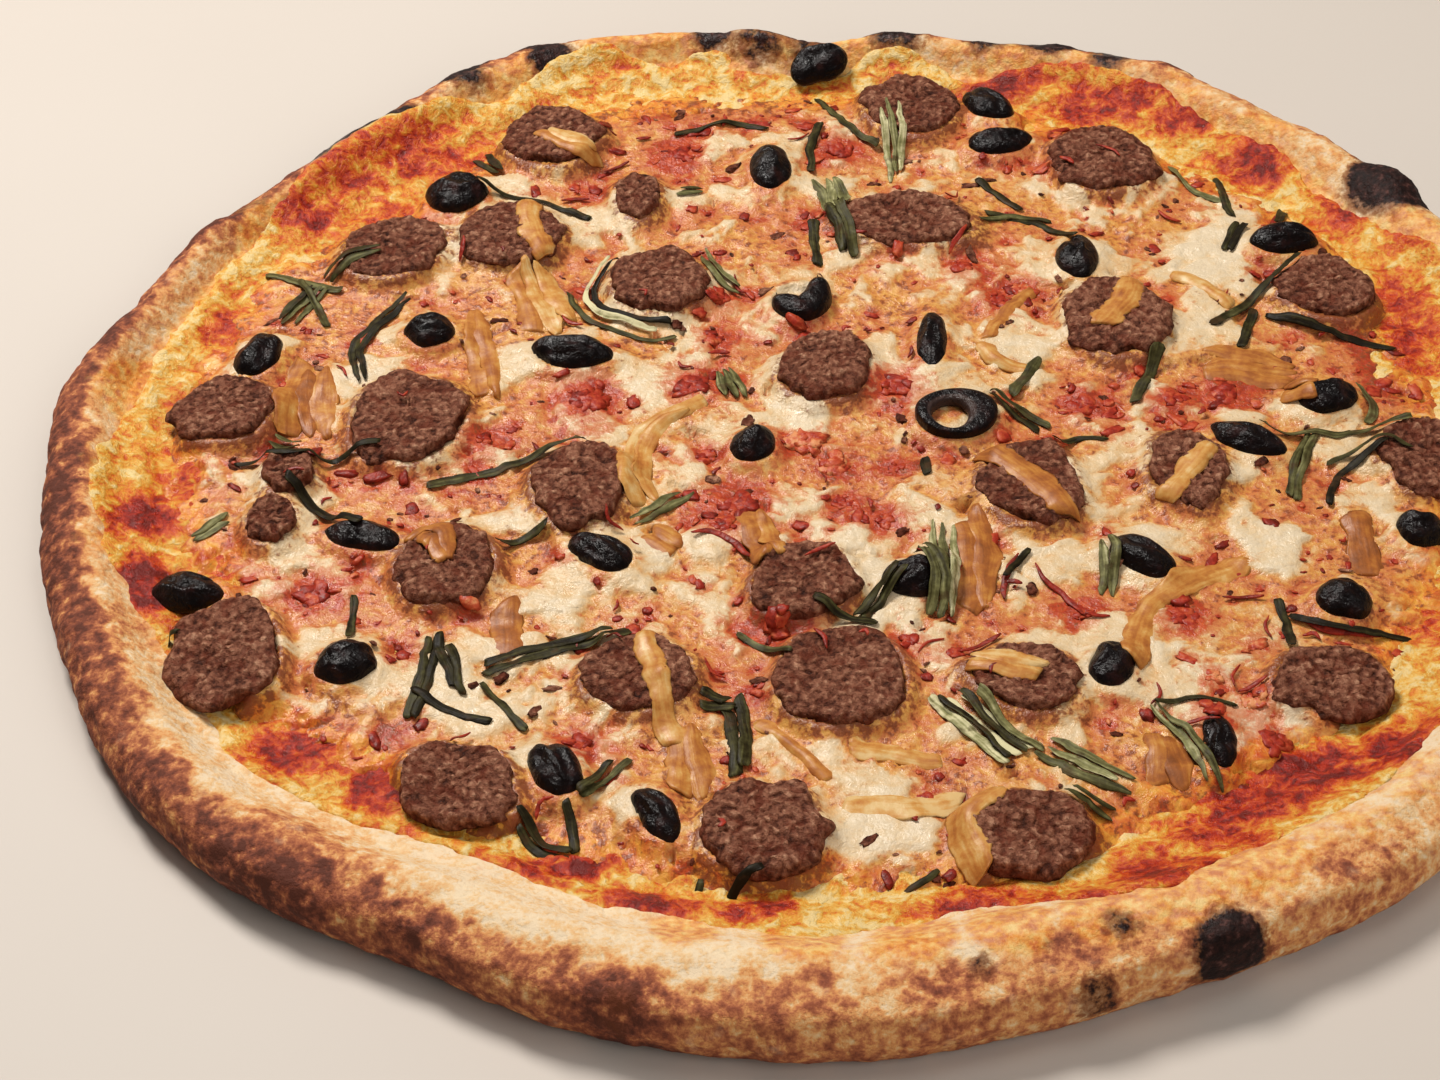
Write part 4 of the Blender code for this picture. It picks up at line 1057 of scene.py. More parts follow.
def all_lying():
    """The meat, then the olives, then the ring and the crescent."""
    found = []

    def add(node, *plan):
        found.append(Lying(node, *plan))

    for number, plan in enumerate(MEATS, 1):
        add(f"meat_{number:02d}", *plan, 1 + 0.08 * steady_random(number, np.arange(14), 21))
    for number, (x, y, length, width, turn, *_) in enumerate(OLIVES, 1):
        factors = 1 + 0.06 * steady_random(number, np.arange(10), 31)
        add(f"olive_{number:02d}", x, y, length / 2, width / 2, turn, factors)
    for number, slice_of in enumerate((RING_OLIVE, CRESCENT_OLIVE), len(OLIVES) + 1):
        add(f"olive_{number:02d}", *slice_of["middle"], *slice_of["half_sizes"], 0, np.ones(12))
    return found


LYING = all_lying()
# The cheese has drawn up against the toppings over about this length, and they have sunk in
MENISCUS = 2.4
MEAT_SUNK = 2.3
OLIVE_SUNK = 1.5


def strands(x, y):
    """The melted cheese's own relief: pale lumps, from 0 between them to 1, and its folds."""
    swirled_x = x + 4.5 * layered(x, y, 13, 301, 2)
    swirled_y = y + 4.5 * layered(x, y, 13, 303, 2)
    level = layered(swirled_x, swirled_y, 11, 305, 4) - 0.07
    level = level + 0.5 * blots(x, y, PALE_BLOTS)
    level = level - 0.4 * blots(x, y, GOLD_BLOTS) - 0.2 * blots(x, y, RED_BLOTS)
    lumps = smooth_step(-0.22, 0.22, level)
    ridges = 1 - 2.2 * np.abs(layered(swirled_x, swirled_y, 12, 309, 3))
    folds = 0.65 * layered(swirled_x, swirled_y, 6, 307, 3) + 0.35 * ridges
    return lumps, folds


def cheese_height(x, y, lumps, folds):
    """The cheese's upper surface, before its edge falls away."""
    inside = cheese_reach(angle_of(x, y)) - np.hypot(x, y)
    height = CHEESE_TOP + CHEESE_WAVE * waves(x, y, 26, 7)
    height = height - (CHEESE_TOP - CHEESE_EDGE) * np.clip(1 - inside / 17, 0, 1)
    height = np.maximum(height, sauce_level(x, y) + 1.0)
    height = height + 1.1 * (lumps - 0.6) + 0.55 * folds + 0.16 * layered(x, y, 3.0, 127, 2)
    for number, lying in enumerate(LYING):
        sunk_in = MEAT_SUNK if number < len(MEATS) else OLIVE_SUNK
        k, share = lying.near(x, y, 8)
        distance = (share - 1) * min(lying.half)
        underside = lying.underside(x[k], y[k])
        pull = np.where(distance > 0, np.exp(-((distance / MENISCUS) ** 2)), 1.0)
        target = np.where(distance < -1.5, underside + 0.2, underside + sunk_in)
        height[k] += (target - height[k]) * pull
    return height


def holes(x, y):
    """Where the cheese has parted, from 0 (whole) to 1 (open down to the sauce)."""
    degrees = angle_of(x, y)
    edge = smooth_step(20, 2, cheese_reach(degrees) - np.hypot(x, y))
    level = layered(x, y, 7, 141, 4) + 0.75 * blots(x, y, SAUCE_BLOTS) + 0.35 * edge
    opened = smooth_step(0.72, 1.15, level)
    for lying in LYING:
        k, share = lying.near(x, y, 4)
        opened[k] *= smooth_step(1.0, 1.25, share)
    return opened


def beside_meat(x, y):
    """1 at the edge of a slice of meat, falling to 0 a few millimetres away."""
    beside = np.zeros(np.shape(x))
    for lying in LYING[: len(MEATS)]:
        k, share = lying.near(x, y, 8)
        distance = np.abs(share - 1) * min(lying.half)
        beside[k] = np.maximum(beside[k], np.exp(-((distance / MENISCUS) ** 2)))
    return beside


def scattered(count, seed, reach):
    """Steady scattered places on the cheese."""
    n = np.arange(count)
    radius = reach * np.sqrt(0.5 + 0.5 * steady_random(n, 0, seed))
    angle = math.pi * steady_random(n, 1, seed)
    return radius * np.cos(angle), radius * np.sin(angle)


def chosen_bits(count, sizes, seed, pull):
    """Places, sizes and tones of small bits: more where pull is high, none on a topping."""
    x, y = scattered(count * 4, seed, 159)
    weight = pull(x, y) + 0.5 * steady_random(np.arange(len(x)), 2, seed)
    for lying in LYING:
        k, share = lying.near(x, y, 4)
        weight[k[share < 1.12]] = -9
    bits = []
    for n in np.argsort(-weight)[:count]:
        size = sizes[0] + (sizes[1] - sizes[0]) * (0.5 + 0.5 * chance(n, 3, seed)) ** 2
        stretch = 1.15 + 0.55 * chance(n, 4, seed)
        tone = 0.5 + 0.5 * chance(n, 5, seed)
        bits.append((int(n), float(x[n]), float(y[n]), size, stretch, tone))
    return bits


def red_pull(x, y):
    return 0.9 * blots(x, y, RED_BLOTS) + 0.30 * layered(x, y, 20, 231, 2) - 0.7 * strands(x, y)[0]


def even_pull(x, y):
    return 0.4 * layered(x, y, 25, 233, 2) - 0.3 * strands(x, y)[0]


RED_BITS = chosen_bits(420, (1.0, 4.6), 241, red_pull)
BROWN_BITS = chosen_bits(150, (1.0, 3.8), 251, even_pull)
# The height of all that has been laid so far
SURFACE = Raster()


def stain_raster():
    """How strongly red bits have coloured the cheese round them."""
    stains = Raster()
    for _, x, y, size, _, tone in RED_BITS:
        stains.spread(x, y, 0.9 * size + 0.8, 0.45 + 0.4 * tone)
    for x, y, radius, *_ in TOMATOES:
        stains.spread(x, y, 1.4 * radius + 1.5, 0.9)
    return stains


def onion_raster():
    """How strongly the onion's juice has coloured the cheese round it."""
    stains = Raster()
    for width, _, *controls in ONIONS:
        for x, y in curve_through(controls, 2.0):
            stains.spread(x, y, 0.55 * width + 2.0, 1.0)
    return stains


CHEESE_CELLS = 292


def make_cheese():
    count = CHEESE_CELLS + 1
    side = np.linspace(-1, 1, count)
    a, b = np.meshgrid(side, side, indexing="ij")
    # A square grid pressed into a disc, so that its cells stay of one size
    wide = np.abs(a) > np.abs(b)
    radius = np.where(wide, a, b)
    with np.errstate(divide="ignore", invalid="ignore"):
        turn = np.where(wide, math.pi / 4 * b / a, math.pi / 2 - math.pi / 4 * a / b)
    turn = np.nan_to_num(turn)
    angle = turn + np.where(radius < 0, math.pi, 0)
    share = np.abs(radius)
    reach = cheese_reach(np.degrees(angle))
    x = (share * reach * np.cos(angle)).ravel()
    y = (share * reach * np.sin(angle)).ravel()
    opened = holes(x, y)
    lumps, folds = strands(x, y)
    z = cheese_height(x, y, lumps, folds)
    level = sauce_level(x, y)
    z = z - opened * (z - level + 0.4)
    inside = ((1 - share) * reach).ravel()
    falling = smooth_step(-1.5, 5.5, inside + 1.8 * layered(x, y, 4, 143, 3))
    z = level - 0.6 + (z - level + 0.6) * falling
    top = np.stack([x, y, z], -1)
    SURFACE.raise_to(top)

    index = np.arange(count * count).reshape(count, count)
    quads = np.stack([index[:-1, :-1], index[1:, :-1], index[1:, 1:], index[:-1, 1:]], -1).reshape(-1, 4)
    border = np.concatenate([index[:-1, 0], index[-1, :-1], index[:0:-1, -1], index[0, :0:-1]])
    skirt = top[border].copy()
    skirt[:, 2] = CHEESE_BASE
    first = len(top)
    i = np.arange(len(border))
    j = (i + 1) % len(border)
    side_quads = np.stack([first + i, first + j, border[j], border[i]], 1)
    fan = np.stack([first + j, first + i, 0 * i + first + len(border)], 1)
    points = np.concatenate([top, skirt, [(0, 0, CHEESE_BASE)]])

    px, py, _ = points.T
    edge = smooth_step(20, 1, cheese_reach(angle_of(px, py)) - np.hypot(px, py))
    # The cheese is more golden and darker brown close round each slice of meat
    beside = beside_meat(px, py)
    rest = np.zeros(len(border) + 1)
    sauce = blots(px, py, SAUCE_BLOTS)
    pale = blots(px, py, PALE_BLOTS)
    red = np.clip(0.6 * blots(px, py, RED_BLOTS) * (1 - edge) + 0.9 * sauce + 0.12 * edge, 0, 1.2)
    red += 0.4 * np.concatenate([opened, rest]) + 0.8 * stain_raster().at(px, py)
    gold = blots(px, py, GOLD_BLOTS) + 0.4 * edge + 0.35 * beside + 0.75 * onion_raster().at(px, py)
    valley = np.concatenate([0.72 * (1 - lumps) + 0.36 * smooth_step(0.3, -0.5, folds), rest])
    layers = {
        "red": red, "gold": gold, "pale": pale, "valley": valley,
        "brown": 0.3 * gold + 0.6 * beside, "ring": 0.75 * edge + 0.5 * sauce - 0.5 * pale,
    }
    faces = [np.concatenate([quads, side_quads]), fan]
    return make_object("cheese_melted", points, faces, cheese_material(), ["cheese"], layers)


SAUCE_SIDES = 1080
SAUCE_RINGS = 46
# Inside of this radius the cheese hides the sauce, which is flat there
SAUCE_INNER = 96.0


def make_sauce():
    degrees = np.arange(SAUCE_SIDES) * 360 / SAUCE_SIDES
    outer, width, _ = rim(degrees)
    foot = outer - width
    climb = 1.2 + 3.0 * layered(degrees * 3.2, 0 * degrees, 16, 151, 4)
    for middle, half_width, extra in SAUCE_CLIMBS:
        gap = (degrees - middle + 180) % 360 - 180
        climb = climb + extra * np.exp(-((gap / half_width) ** 2))
    edge = foot + climb
    share = np.linspace(0, 1, SAUCE_RINGS)[::-1][:, None]
    radius = SAUCE_INNER + (edge - SAUCE_INNER) * share**0.8
    angle = np.radians(degrees)[None, :]
    x = radius * np.cos(angle)
    y = radius * np.sin(angle)
    bed = inner_slope(x, y)
    bed = bed + crust_lump(x, y, bed)
    film = 0.8 + 0.2 * layered(x, y, 5, 157, 3)
    lumps = 0.55 + 0.75 * layered(x, y, 6, 153, 3) + 0.35 * layered(x, y, 2.6, 155, 2)
    z = np.maximum(np.maximum(SAUCE_TOP, bed) + lumps * smooth_step(-1, 5, foot - radius), bed + film)
    taper = smooth_step(0.0, 2.5, edge - radius)
    z = bed - 0.5 + (z - bed + 0.5) * taper
    base = np.stack([x[0], y[0], np.full(SAUCE_SIDES, SAUCE_BASE)], -1)
    base[:, :2] *= ((foot - 2.4) / radius[0])[:, None]
    rings = np.concatenate([base[None], np.stack([x, y, z], -1)])
    points = np.concatenate([[(0, 0, SAUCE_BASE)], rings.reshape(-1, 3), [(0, 0, SAUCE_TOP)]])
    px, py, _ = points.T
    orange = 0.80 + 0.22 * layered(px, py, 13, 161, 3)
    orange = orange - 0.66 * np.minimum(blots(px, py, SAUCE_BLOTS), 1)
    faces = ring_faces(len(rings), SAUCE_SIDES)
    layers = {"orange": orange}
    material = sauce_material()
    return make_object("tomato_sauce_baked", points, faces, material, ["tomato_sauce"], layers)


def finish_topping(name, lying, x, y, z, layer, material, rise=0.0):
    """Closes a topping's rings with a pole at either end. layer is a name and its values."""
    rings = np.stack([x, y, z], -1).reshape(-1, 3)
    low = (lying.x, lying.y, lying.underside(lying.x, lying.y))
    high = (lying.x, lying.y, float(z[-1].mean()) + rise)
    points = np.concatenate([[low], rings, [high]])
    SURFACE.raise_to(points)
    return make_object(name, points, ring_faces(*z.shape), material, [lying.node], dict([layer]))


MEAT_SIDES = 132
# How wide the crumbs of meat are, and how far they wander from an even scatter
CRUMB = 3.0
CRUMB_WANDER = 1.3


def make_meat(number, lying, material):
    """One slice of coarse ground meat: crumbly, with a rounded edge."""
    degrees = np.arange(MEAT_SIDES) * 360 / MEAT_SIDES
    shares = [0.35, 0.7, 0.9]
    heights = [0.0, 0.0, 0.02]
    for step in range(1, 9):
        lean = math.pi * step / 9
        shares.append(0.90 + 0.10 * math.sin(lean) + (0.0 if step < 5 else -0.012 * (step - 4)))
        heights.append(0.5 - 0.5 * math.cos(lean))
    for share in np.linspace(0.82, 0.05, 20):
        shares.append(share)
        heights.append(1.0)
    shares = np.array(shares)[:, None]
    heights = np.array(heights)[:, None]
    x, y = lying.place(shares + 0 * degrees, degrees + 0 * shares)
    underside = lying.underside(x, y)
    # Crumbs of meat press out of the top and the side
    wander_x = x + 31 * number + CRUMB_WANDER * layered(x, y, CRUMB, 169, 3)
    wander_y = y + CRUMB_WANDER * layered(x, y, CRUMB, 170, 3)
    nearest, second = pebbles(wander_x, wander_y, CRUMB, 171)
    crumbs = smooth_step(0.0, 0.5, second - nearest)
    fine = 0.5 + 0.5 * layered(x, y + 17 * number, 1.7, 175, 3)
    lumps = layered(x + 9 * number, y, 6.5, 177, 4)
    relief = 0.55 * crumbs - 0.45 + 0.42 * fine + 0.80 * lumps
    upper = smooth_step(0.25, 0.8, heights)
    z = underside + heights * lying.thick * 0.93 + relief * upper
    # The side is ragged
    beside = np.exp(-(((heights - 0.5) / 0.4) ** 2)) * (shares > 0.85)
    around = np.radians(degrees)
    round_x = 14 * np.cos(around) + 40 * number
    round_y = 14 * np.sin(around) + heights * 4
    craggy = layered(round_x, round_y, 11.0, 179, 3)
    chips = layered(round_x, round_y, 3.6, 183, 3)
    ragged = 1 + beside * (0.13 * craggy + 0.075 * chips - 0.01)
    x = lying.x + (x - lying.x) * ragged
    y = lying.y + (y - lying.y) * ragged
    # How light the meat is painted: lighter on the raised crumbs and over the top, darker in the gaps and
    # down the side, partly its own mottling and partly painted shade
    level = np.clip(0.45 * crumbs + 0.5 * fine + 0.25 * lumps + 0.15, 0, 1) * (0.35 + 0.65 * upper)
    layer = ("height", with_poles(0, level, 0.5))
    return finish_topping(f"meat_slice_{number:02d}", lying, x, y, z, layer, material)


OLIVE_SIDES = 72


def make_olive(number, lying, notch, material):
    """Half an olive, skin up: a dented dome with a cut edge."""
    degrees = np.arange(OLIVE_SIDES) * 360 / OLIVE_SIDES
    lean = np.linspace(0, math.pi / 2, 20)[:-1]
    shares = np.concatenate([[0.5, 0.84, 0.93], 0.96 + 0 * lean[:1], np.cos(lean[1:] * 0.985)])[:, None]
    heights = np.concatenate([[0.0, 0.0, 0.02], [0.12], 0.16 + 0.84 * np.sin(lean[1:])])[:, None]
    direction, depth, half_angle = notch
    gap = (degrees - direction + 180) % 360 - 180
    uneven = layered(9 * cos_of(degrees) + 30 * number, 9 * sin_of(degrees), 7, 187, 3)
    dent = 1 - depth * np.exp(-((gap / half_angle) ** 2)) + 0.07 * uneven
    x, y = lying.place(shares * (1 + (dent - 1) * smooth_step(0.15, 0.7, shares)), degrees + 0 * shares)
    # The skin has wrinkled a little along its length
    spot = shares * sin_of(degrees)
    wander = 0.35 * layered(x + 13 * number, y, 6, 185, 2)
    folds = np.sin(6.5 * (spot + wander) + number * 1.7)
    swell = layered(x + 13 * number, y, 6, 181, 3)
    height = heights * (1 + 0.10 * folds * heights + 0.12 * swell * heights)
    height = height * (1 - 0.5 * (1 - dent) * smooth_step(0.2, 0.6, shares))
    z = lying.underside(x, y) + lying.thick * 0.98 * np.clip(height, 0, 1.08)
    flesh = np.where(heights < 0.14, 0.6, 0.0) + 0 * degrees
    layer = ("flesh", with_poles(0.6, flesh, 0))
    return finish_topping(f"olive_half_{number:02d}", lying, x, y, z, layer, material, 0.02)


def make_olive_ring(number, lying, material):
    """A slice across an olive: a fat ring with a smaller hole off its middle."""
    sides = 96
    around = 28
    degrees = np.arange(sides) * 360 / sides
    angle = np.radians(degrees)[None, :]
    lean = (np.arange(around) * 2 * math.pi / around)[:, None]
    outer = np.array(RING_OLIVE["half_sizes"]) * 0.97
    hole = np.array(RING_OLIVE["hole_half_sizes"]) * 1.12
    out_x = RING_OLIVE["middle"][0] + outer[0] * np.cos(angle) * (1 + 0.03 * np.sin(3 * angle))
    out_y = RING_OLIVE["middle"][1] + outer[1] * np.sin(angle)
    in_x = RING_OLIVE["hole"][0] + hole[0] * np.cos(angle)
    in_y = RING_OLIVE["hole"][1] + hole[1] * np.sin(angle)
    share = 0.5 + 0.5 * np.sign(np.cos(lean)) * np.abs(np.cos(lean)) ** 0.7
    rise = 0.5 + 0.5 * np.sign(np.sin(lean)) * np.abs(np.sin(lean)) ** 0.6
    x = in_x + (out_x - in_x) * share
    y = in_y + (out_y - in_y) * share
    height = lying.thick * rise * (0.92 + 0.08 * np.sin(2 * angle + 1))
    z = lying.underside(x, y) + height
    points = np.stack([x, y, z], -1).reshape(-1, 3)
    SURFACE.raise_to(points)
    i = np.arange(sides)
    j = (i + 1) % sides
    quads = []
    for k in range(around):
        low = k * sides
        high = (k + 1) % around * sides
        quads.append(np.stack([low + i, low + j, high + j, high + i], 1))
    flesh = np.where((share < 0.25) & (rise > 0.2), 0.5, 0.0) + 0 * angle
    name = f"olive_ring_{number:02d}"
    layers = {"flesh": flesh.ravel()}
    return make_object(name, points, [np.concatenate(quads)], material, [lying.node], layers)


CRESCENT_SIDES = 28


def make_olive_crescent(number, lying, material):
    """A piece of an olive ring that lies as a crescent."""
    path = curve_through(CRESCENT_OLIVE["path"], 0.6)
    count = len(path)
    widths = np.array(CRESCENT_OLIVE["widths"])
    controls = through(np.column_stack([CRESCENT_OLIVE["path"], widths]), 12)
    along = np.linspace(0, 1, count)
    half = np.interp(along, np.linspace(0, 1, len(controls)), controls[:, 2]) / 2
    half = half * np.clip(np.minimum(along, 1 - along) * 9, 0.15, 1)
    _, left = directions(path)
    turn = np.arange(CRESCENT_SIDES) * 2 * math.pi / CRESCENT_SIDES
    across = np.sign(np.cos(turn)) * np.abs(np.cos(turn)) ** 0.8
    up = np.where(np.sin(turn) > 0, np.abs(np.sin(turn)) ** 0.7, -0.0)
    x, y = beside_path(path, left, half[:, None] * across)
    rounded = np.clip(half / 3.2, 0.3, 1)[:, None]
    z = lying.underside(x, y) + lying.thick * rounded * up * (1 + 0.05 * np.sin(path[:, :1] + 2 * across))
    points = ring_points(np.stack([x, y, z], -1))
    SURFACE.raise_to(points)
    faces = outward(points, ring_faces(count, CRESCENT_SIDES))
    flesh = np.where((across > 0.85) & (up > 0), 0.5, 0.0) + 0 * path[:, :1]
    layers = {"flesh": with_poles(0, flesh, 0)}
    name = f"olive_crescent_{number:02d}"
    return make_object(name, points, faces, material, [lying.node], layers)


def curve_through(controls, step):
    """Points about one step apart on the smooth curve through the controls."""
    rows = np.array(controls, float)
    length = np.hypot(*np.diff(rows, axis=0).T).sum()
    finer = through(rows, 24)
    reach = np.concatenate([[0], np.cumsum(np.hypot(*np.diff(finer, axis=0).T))])
    count = max(5, round(length / step) + 1)
    at = np.linspace(0, reach[-1], count)
    return np.stack([np.interp(at, reach, finer[:, k]) for k in (0, 1)], 1)


def directions(path):
    """Which way the path goes at each point, and which way is its left."""
    ahead = np.gradient(path, axis=0)
    ahead /= np.hypot(*ahead.T)[:, None]
    return ahead, np.stack([-ahead[:, 1], ahead[:, 0]], 1)


def beside_path(path, left, reach):
    """Places beside each point of the path, reach to its left."""
    return [path[:, k, None] + left[:, k, None] * reach for k in (0, 1)]


def smoothed(values, times):
    """Rows evened out with the rows beside them."""
    values = values.copy()
    for _ in range(times):
        values[1:-1] = 0.25 * values[:-2] + 0.5 * values[1:-1] + 0.25 * values[2:]
    return values


SECTION_SIDES = 12


def draped(ground, stiff):
    """Heights of something limp laid over the ground, which it bridges a little."""
    lifted = np.maximum(ground, smoothed(ground, stiff))
    return np.maximum(smoothed(lifted, 2), ground - 0.15)


def ribbon(
    number, controls, width, seed,
    thick=0.0, sunk=0.0, leaf=False, cup=0.0, melted=0.0, ragged=0.30, bit=4.5, stiff=8,
):
    """A limp strip that lies over whatever is under it: points, faces and its layers.

    leaf gives it pointed ends, cup rolls it lengthwise, and melted lets its edges sink into
    the cheese. ragged and bit say how deep and how long the unevenness of its edges is, and
    stiff how far it bridges hollows.
    """
    path = curve_through(controls, 1.0)
    count = len(path)
    along = np.linspace(0, 1, count)
    reach = along * count
    ahead, left = directions(path)

    def wave(shift, cell, step, octaves=2):
        return layered(reach + shift * number, 0 * along, cell, seed + step, octaves)

    path = path + left * 0.5 * wave(50, 6, 0, 3)[:, None]
    if leaf:
        outline = np.sin(np.pi * np.clip(along * 0.94 + 0.03, 0, 1)) ** 0.55
    else:
        outline = np.clip(np.minimum(along, 1 - along) * count / width * 1.5 + 0.55, 0, 1) ** 0.6
    turn = np.arange(SECTION_SIDES) * 2 * math.pi / SECTION_SIDES
    across = np.cos(turn)
    up = np.sign(np.sin(turn)) * np.abs(np.sin(turn)) ** 0.8
    # Each edge is uneven in its own way
    edges = [layered(reach + 31 * number, 0 * along + side, bit, seed + 1, 3) for side in (0, 50)]
    uneven = ragged * np.where(across < 0, edges[0][:, None], edges[1][:, None])
    half = (width / 2 * outline)[:, None] * (1 + uneven * np.abs(across))
    x, y = beside_path(path, left, half * across)
    # Each end is cut at a slant
    for end, sign in ((0, 1), (1, -1)):
        near = np.clip(1 - np.abs(along - end) * count / (0.8 * width + 1), 0, 1)[:, None]
        slant = sign * 0.7 * steady_random(number, 11 + end, seed) * half * across * near
        x = x + slant * ahead[:, 0, None]
        y = y + slant * ahead[:, 1, None]
    ground = draped(SURFACE.at(x, y), stiff)
    level = 0.6 * ground + 0.4 * ground.max(1)[:, None]
    if melted:
        # Its edges have sunk into the cheese, and only its middle stands out
        swell = 1 + 0.8 * wave(37, 9, 5)[:, None]
        lens = (1 - np.abs(across) ** 2.2) * np.sqrt(outline)[:, None]
        z = 0.25 * level + 0.75 * ground - 0.4 + (melted * swell + 0.4) * lens - 0.7 * (up < -0.01)
    else:
        # It curls up at its ends, and twists and folds lengthwise as it goes
        curl = thick * (0.8 + 0.8 * steady_random(number, 3, seed))
        ends = np.clip(1 - reach / 6, 0, 1) + np.clip(1 - (count - reach) / 6, 0, 1)
        body = thick / 2 * (0.45 + 0.55 * np.sqrt(outline))[:, None]
        twist = 0.30 * min(1, 3 / width) * wave(17, 9, 2)[:, None]
        fold = cup + 0.16 * wave(23, 11, 3)[:, None]
        z = level + thick / 2 - sunk + body * up + (curl * ends)[:, None]
        z = z + half * (twist * across + fold * (across**2 - 0.4))
        z = np.maximum(z, ground - 0.4 + 0.2 * up)
    points = ring_points(np.stack([x, y, z], -1))
    SURFACE.raise_to(points)
    layers = {
        "across": with_poles(0, np.tile(across * width / 2, count), 0) + 20 * number,
        "along": with_poles(0, np.repeat(reach, SECTION_SIDES), count),
    }
    return points, ring_faces(count, SECTION_SIDES), layers


def outward(points, faces):
    """The faces turned round if they point inwards."""
    volume = 0.0
    for group in faces:
        for k in range(1, group.shape[1] - 1):
            a, b, c = points[group[:, 0]], points[group[:, k]], points[group[:, k + 1]]
            volume += np.einsum("ij,ij->i", a, np.cross(b, c)).sum()
    return faces if volume > 0 else [group[:, ::-1] for group in faces]


def joined(name, solids, material):
    """One piece from many small solids, each (points, faces, layers)."""
    points = []
    quads = []
    triangles = []
    layers = {}
    start = 0
    for solid_points, faces, own_layers in solids:
        for group in outward(solid_points, faces):
            (quads if group.shape[1] == 4 else triangles).append(group + start)
        points.append(solid_points)
        start += len(solid_points)
        for layer, values in own_layers.items():
            layers.setdefault(layer, []).append(np.broadcast_to(values, len(solid_points)))
    faces = [np.concatenate(group) for group in (quads, triangles) if group]
    layers = {layer: np.concatenate(values) for layer, values in layers.items()}
    return make_object(name, np.concatenate(points), faces, material, (), layers)


def blades(number, width, controls, count, spread, seed):
    """The strands that one strip has come apart into: widths and paths."""
    path = curve_through(controls, 1.5)
    _, left = directions(path)
    share = np.linspace(-1, 1, len(path))
    if count == 1:
        yield width * 0.85, path
        return
    for k in range(count):
        side = spread * width * (k - (count - 1) / 2) / count
        swing = 0.16 * width * chance(number, 40 + k, seed)
        moved = path + left * (side + swing * share)[:, None]
        low, high = (
            round((0.08 + 0.08 * chance(number, 50 + 2 * k + end, seed)) * len(path)) for end in (0, 1)
        )
        yield width / count * 1.05, moved[low : len(path) - high]


# A strip at least this wide has come apart into two strands, or into three
GREEN_SPLITS = (4.2, 7.2)
# Onion has come apart into strands of about this width
ONION_STRAND = 4.2


def make_greens():
    solids = []
    for number, (kind, width, light, *controls) in enumerate(GREENS):
        count = 1 + sum(width >= least for least in GREEN_SPLITS)
        for k, (own_width, path) in enumerate(blades(number, width, controls, count, 0.85, 205)):
            own = 4 * number + k
            cup = 0.30 * steady_random(own, 1, 201)
            points, faces, layers = ribbon(
                own, path, 0.92 * own_width, 203, thick=0.32, sunk=0.08, leaf=kind == "leaf", cup=cup
            )
            own_light = light + 0.22 * chance(own, 2, 201)
            solids.append((points, faces, {**layers, "light": own_light}))
    return joined("spring_onion_strips", solids, green_material())


def make_onions():
    solids = []
    for number, (width, browned, *controls) in enumerate(ONIONS):
        count = max(1, round(width / ONION_STRAND))
        for k, (own_width, path) in enumerate(blades(number, width, controls, count, 0.92, 219)):
            own = 6 * number + k
            points, faces, layers = ribbon(
                own, path, 1.5 * own_width, 213, leaf=own % 3 > 0, melted=0.5, ragged=0.34, bit=6, stiff=5
            )
            own_browned = browned + 0.20 * chance(own, 2, 211)
            solids.append((points, faces, {**layers, "browned": own_browned}))
    return joined("soft_onion_strips", solids, onion_material())


SMALL_SLIVERS = 70


def make_slivers(material):
    """Thin dark curls of dried tomato and herb."""
    rows = list(SLIVERS)
    for number, (x, y) in enumerate(zip(*scattered(SMALL_SLIVERS, 261, 150))):
        length = 2.5 + 2.0 * chance(number, 2, 261)
        turn = math.pi * chance(number, 3, 261)
        bend = 1.6 * chance(number, 4, 261)
        ahead = np.array([math.cos(turn), math.sin(turn)])
        left = np.array([-ahead[1], ahead[0]])
        path = [tuple(np.array([x, y]) + ahead * length * k + left * bend * k * k) for k in (-1, 0, 1)]
        tone = 0.25 + 0.30 * chance(number, 5, 261)
        rows.append((1.1 + 0.4 * chance(number, 6, 261), tone, *path))
    solids = []
    for number, (width, tone, *controls) in enumerate(rows):
        points, faces, _ = ribbon(number, controls, width, 263, thick=0.6, sunk=0.2, leaf=True)
        solids.append((points, faces, {"tone": tone}))
    return joined("dark_slivers", solids, material)


def ball():
    """A round of 42 corners, for small lumps."""
    low = bpy.data.meshes.new("ball")
    shape = bmesh.new()
    bmesh.ops.create_icosphere(shape, subdivisions=2, radius=1)
    shape.to_mesh(low)
    shape.free()
    points = np.array([vertex.co[:] for vertex in low.vertices])
    faces = np.array([face.vertices[:] for face in low.polygons])
    bpy.data.meshes.remove(low)
    return points, faces


BALL_POINTS, BALL_FACES = ball()


def lump(number, x, y, half_sizes, turn, sunk, seed):
    """A small uneven lump that lies on whatever is under it."""
    rough = 1 + 0.34 * steady_random(number, np.arange(len(BALL_POINTS)), seed)
    corner = np.sign(BALL_POINTS) * np.abs(BALL_POINTS) ** 0.85
    shape = corner * rough[:, None] * half_sizes
    c, s = math.cos(turn), math.sin(turn)
    px = x + shape[:, 0] * c - shape[:, 1] * s
    py = y + shape[:, 0] * s + shape[:, 1] * c
    ground = SURFACE.at(px, py)
    pz = 0.5 * ground + 0.5 * ground.mean() + half_sizes[2] - sunk + shape[:, 2]
    return np.stack([px, py, pz], 1), [BALL_FACES]


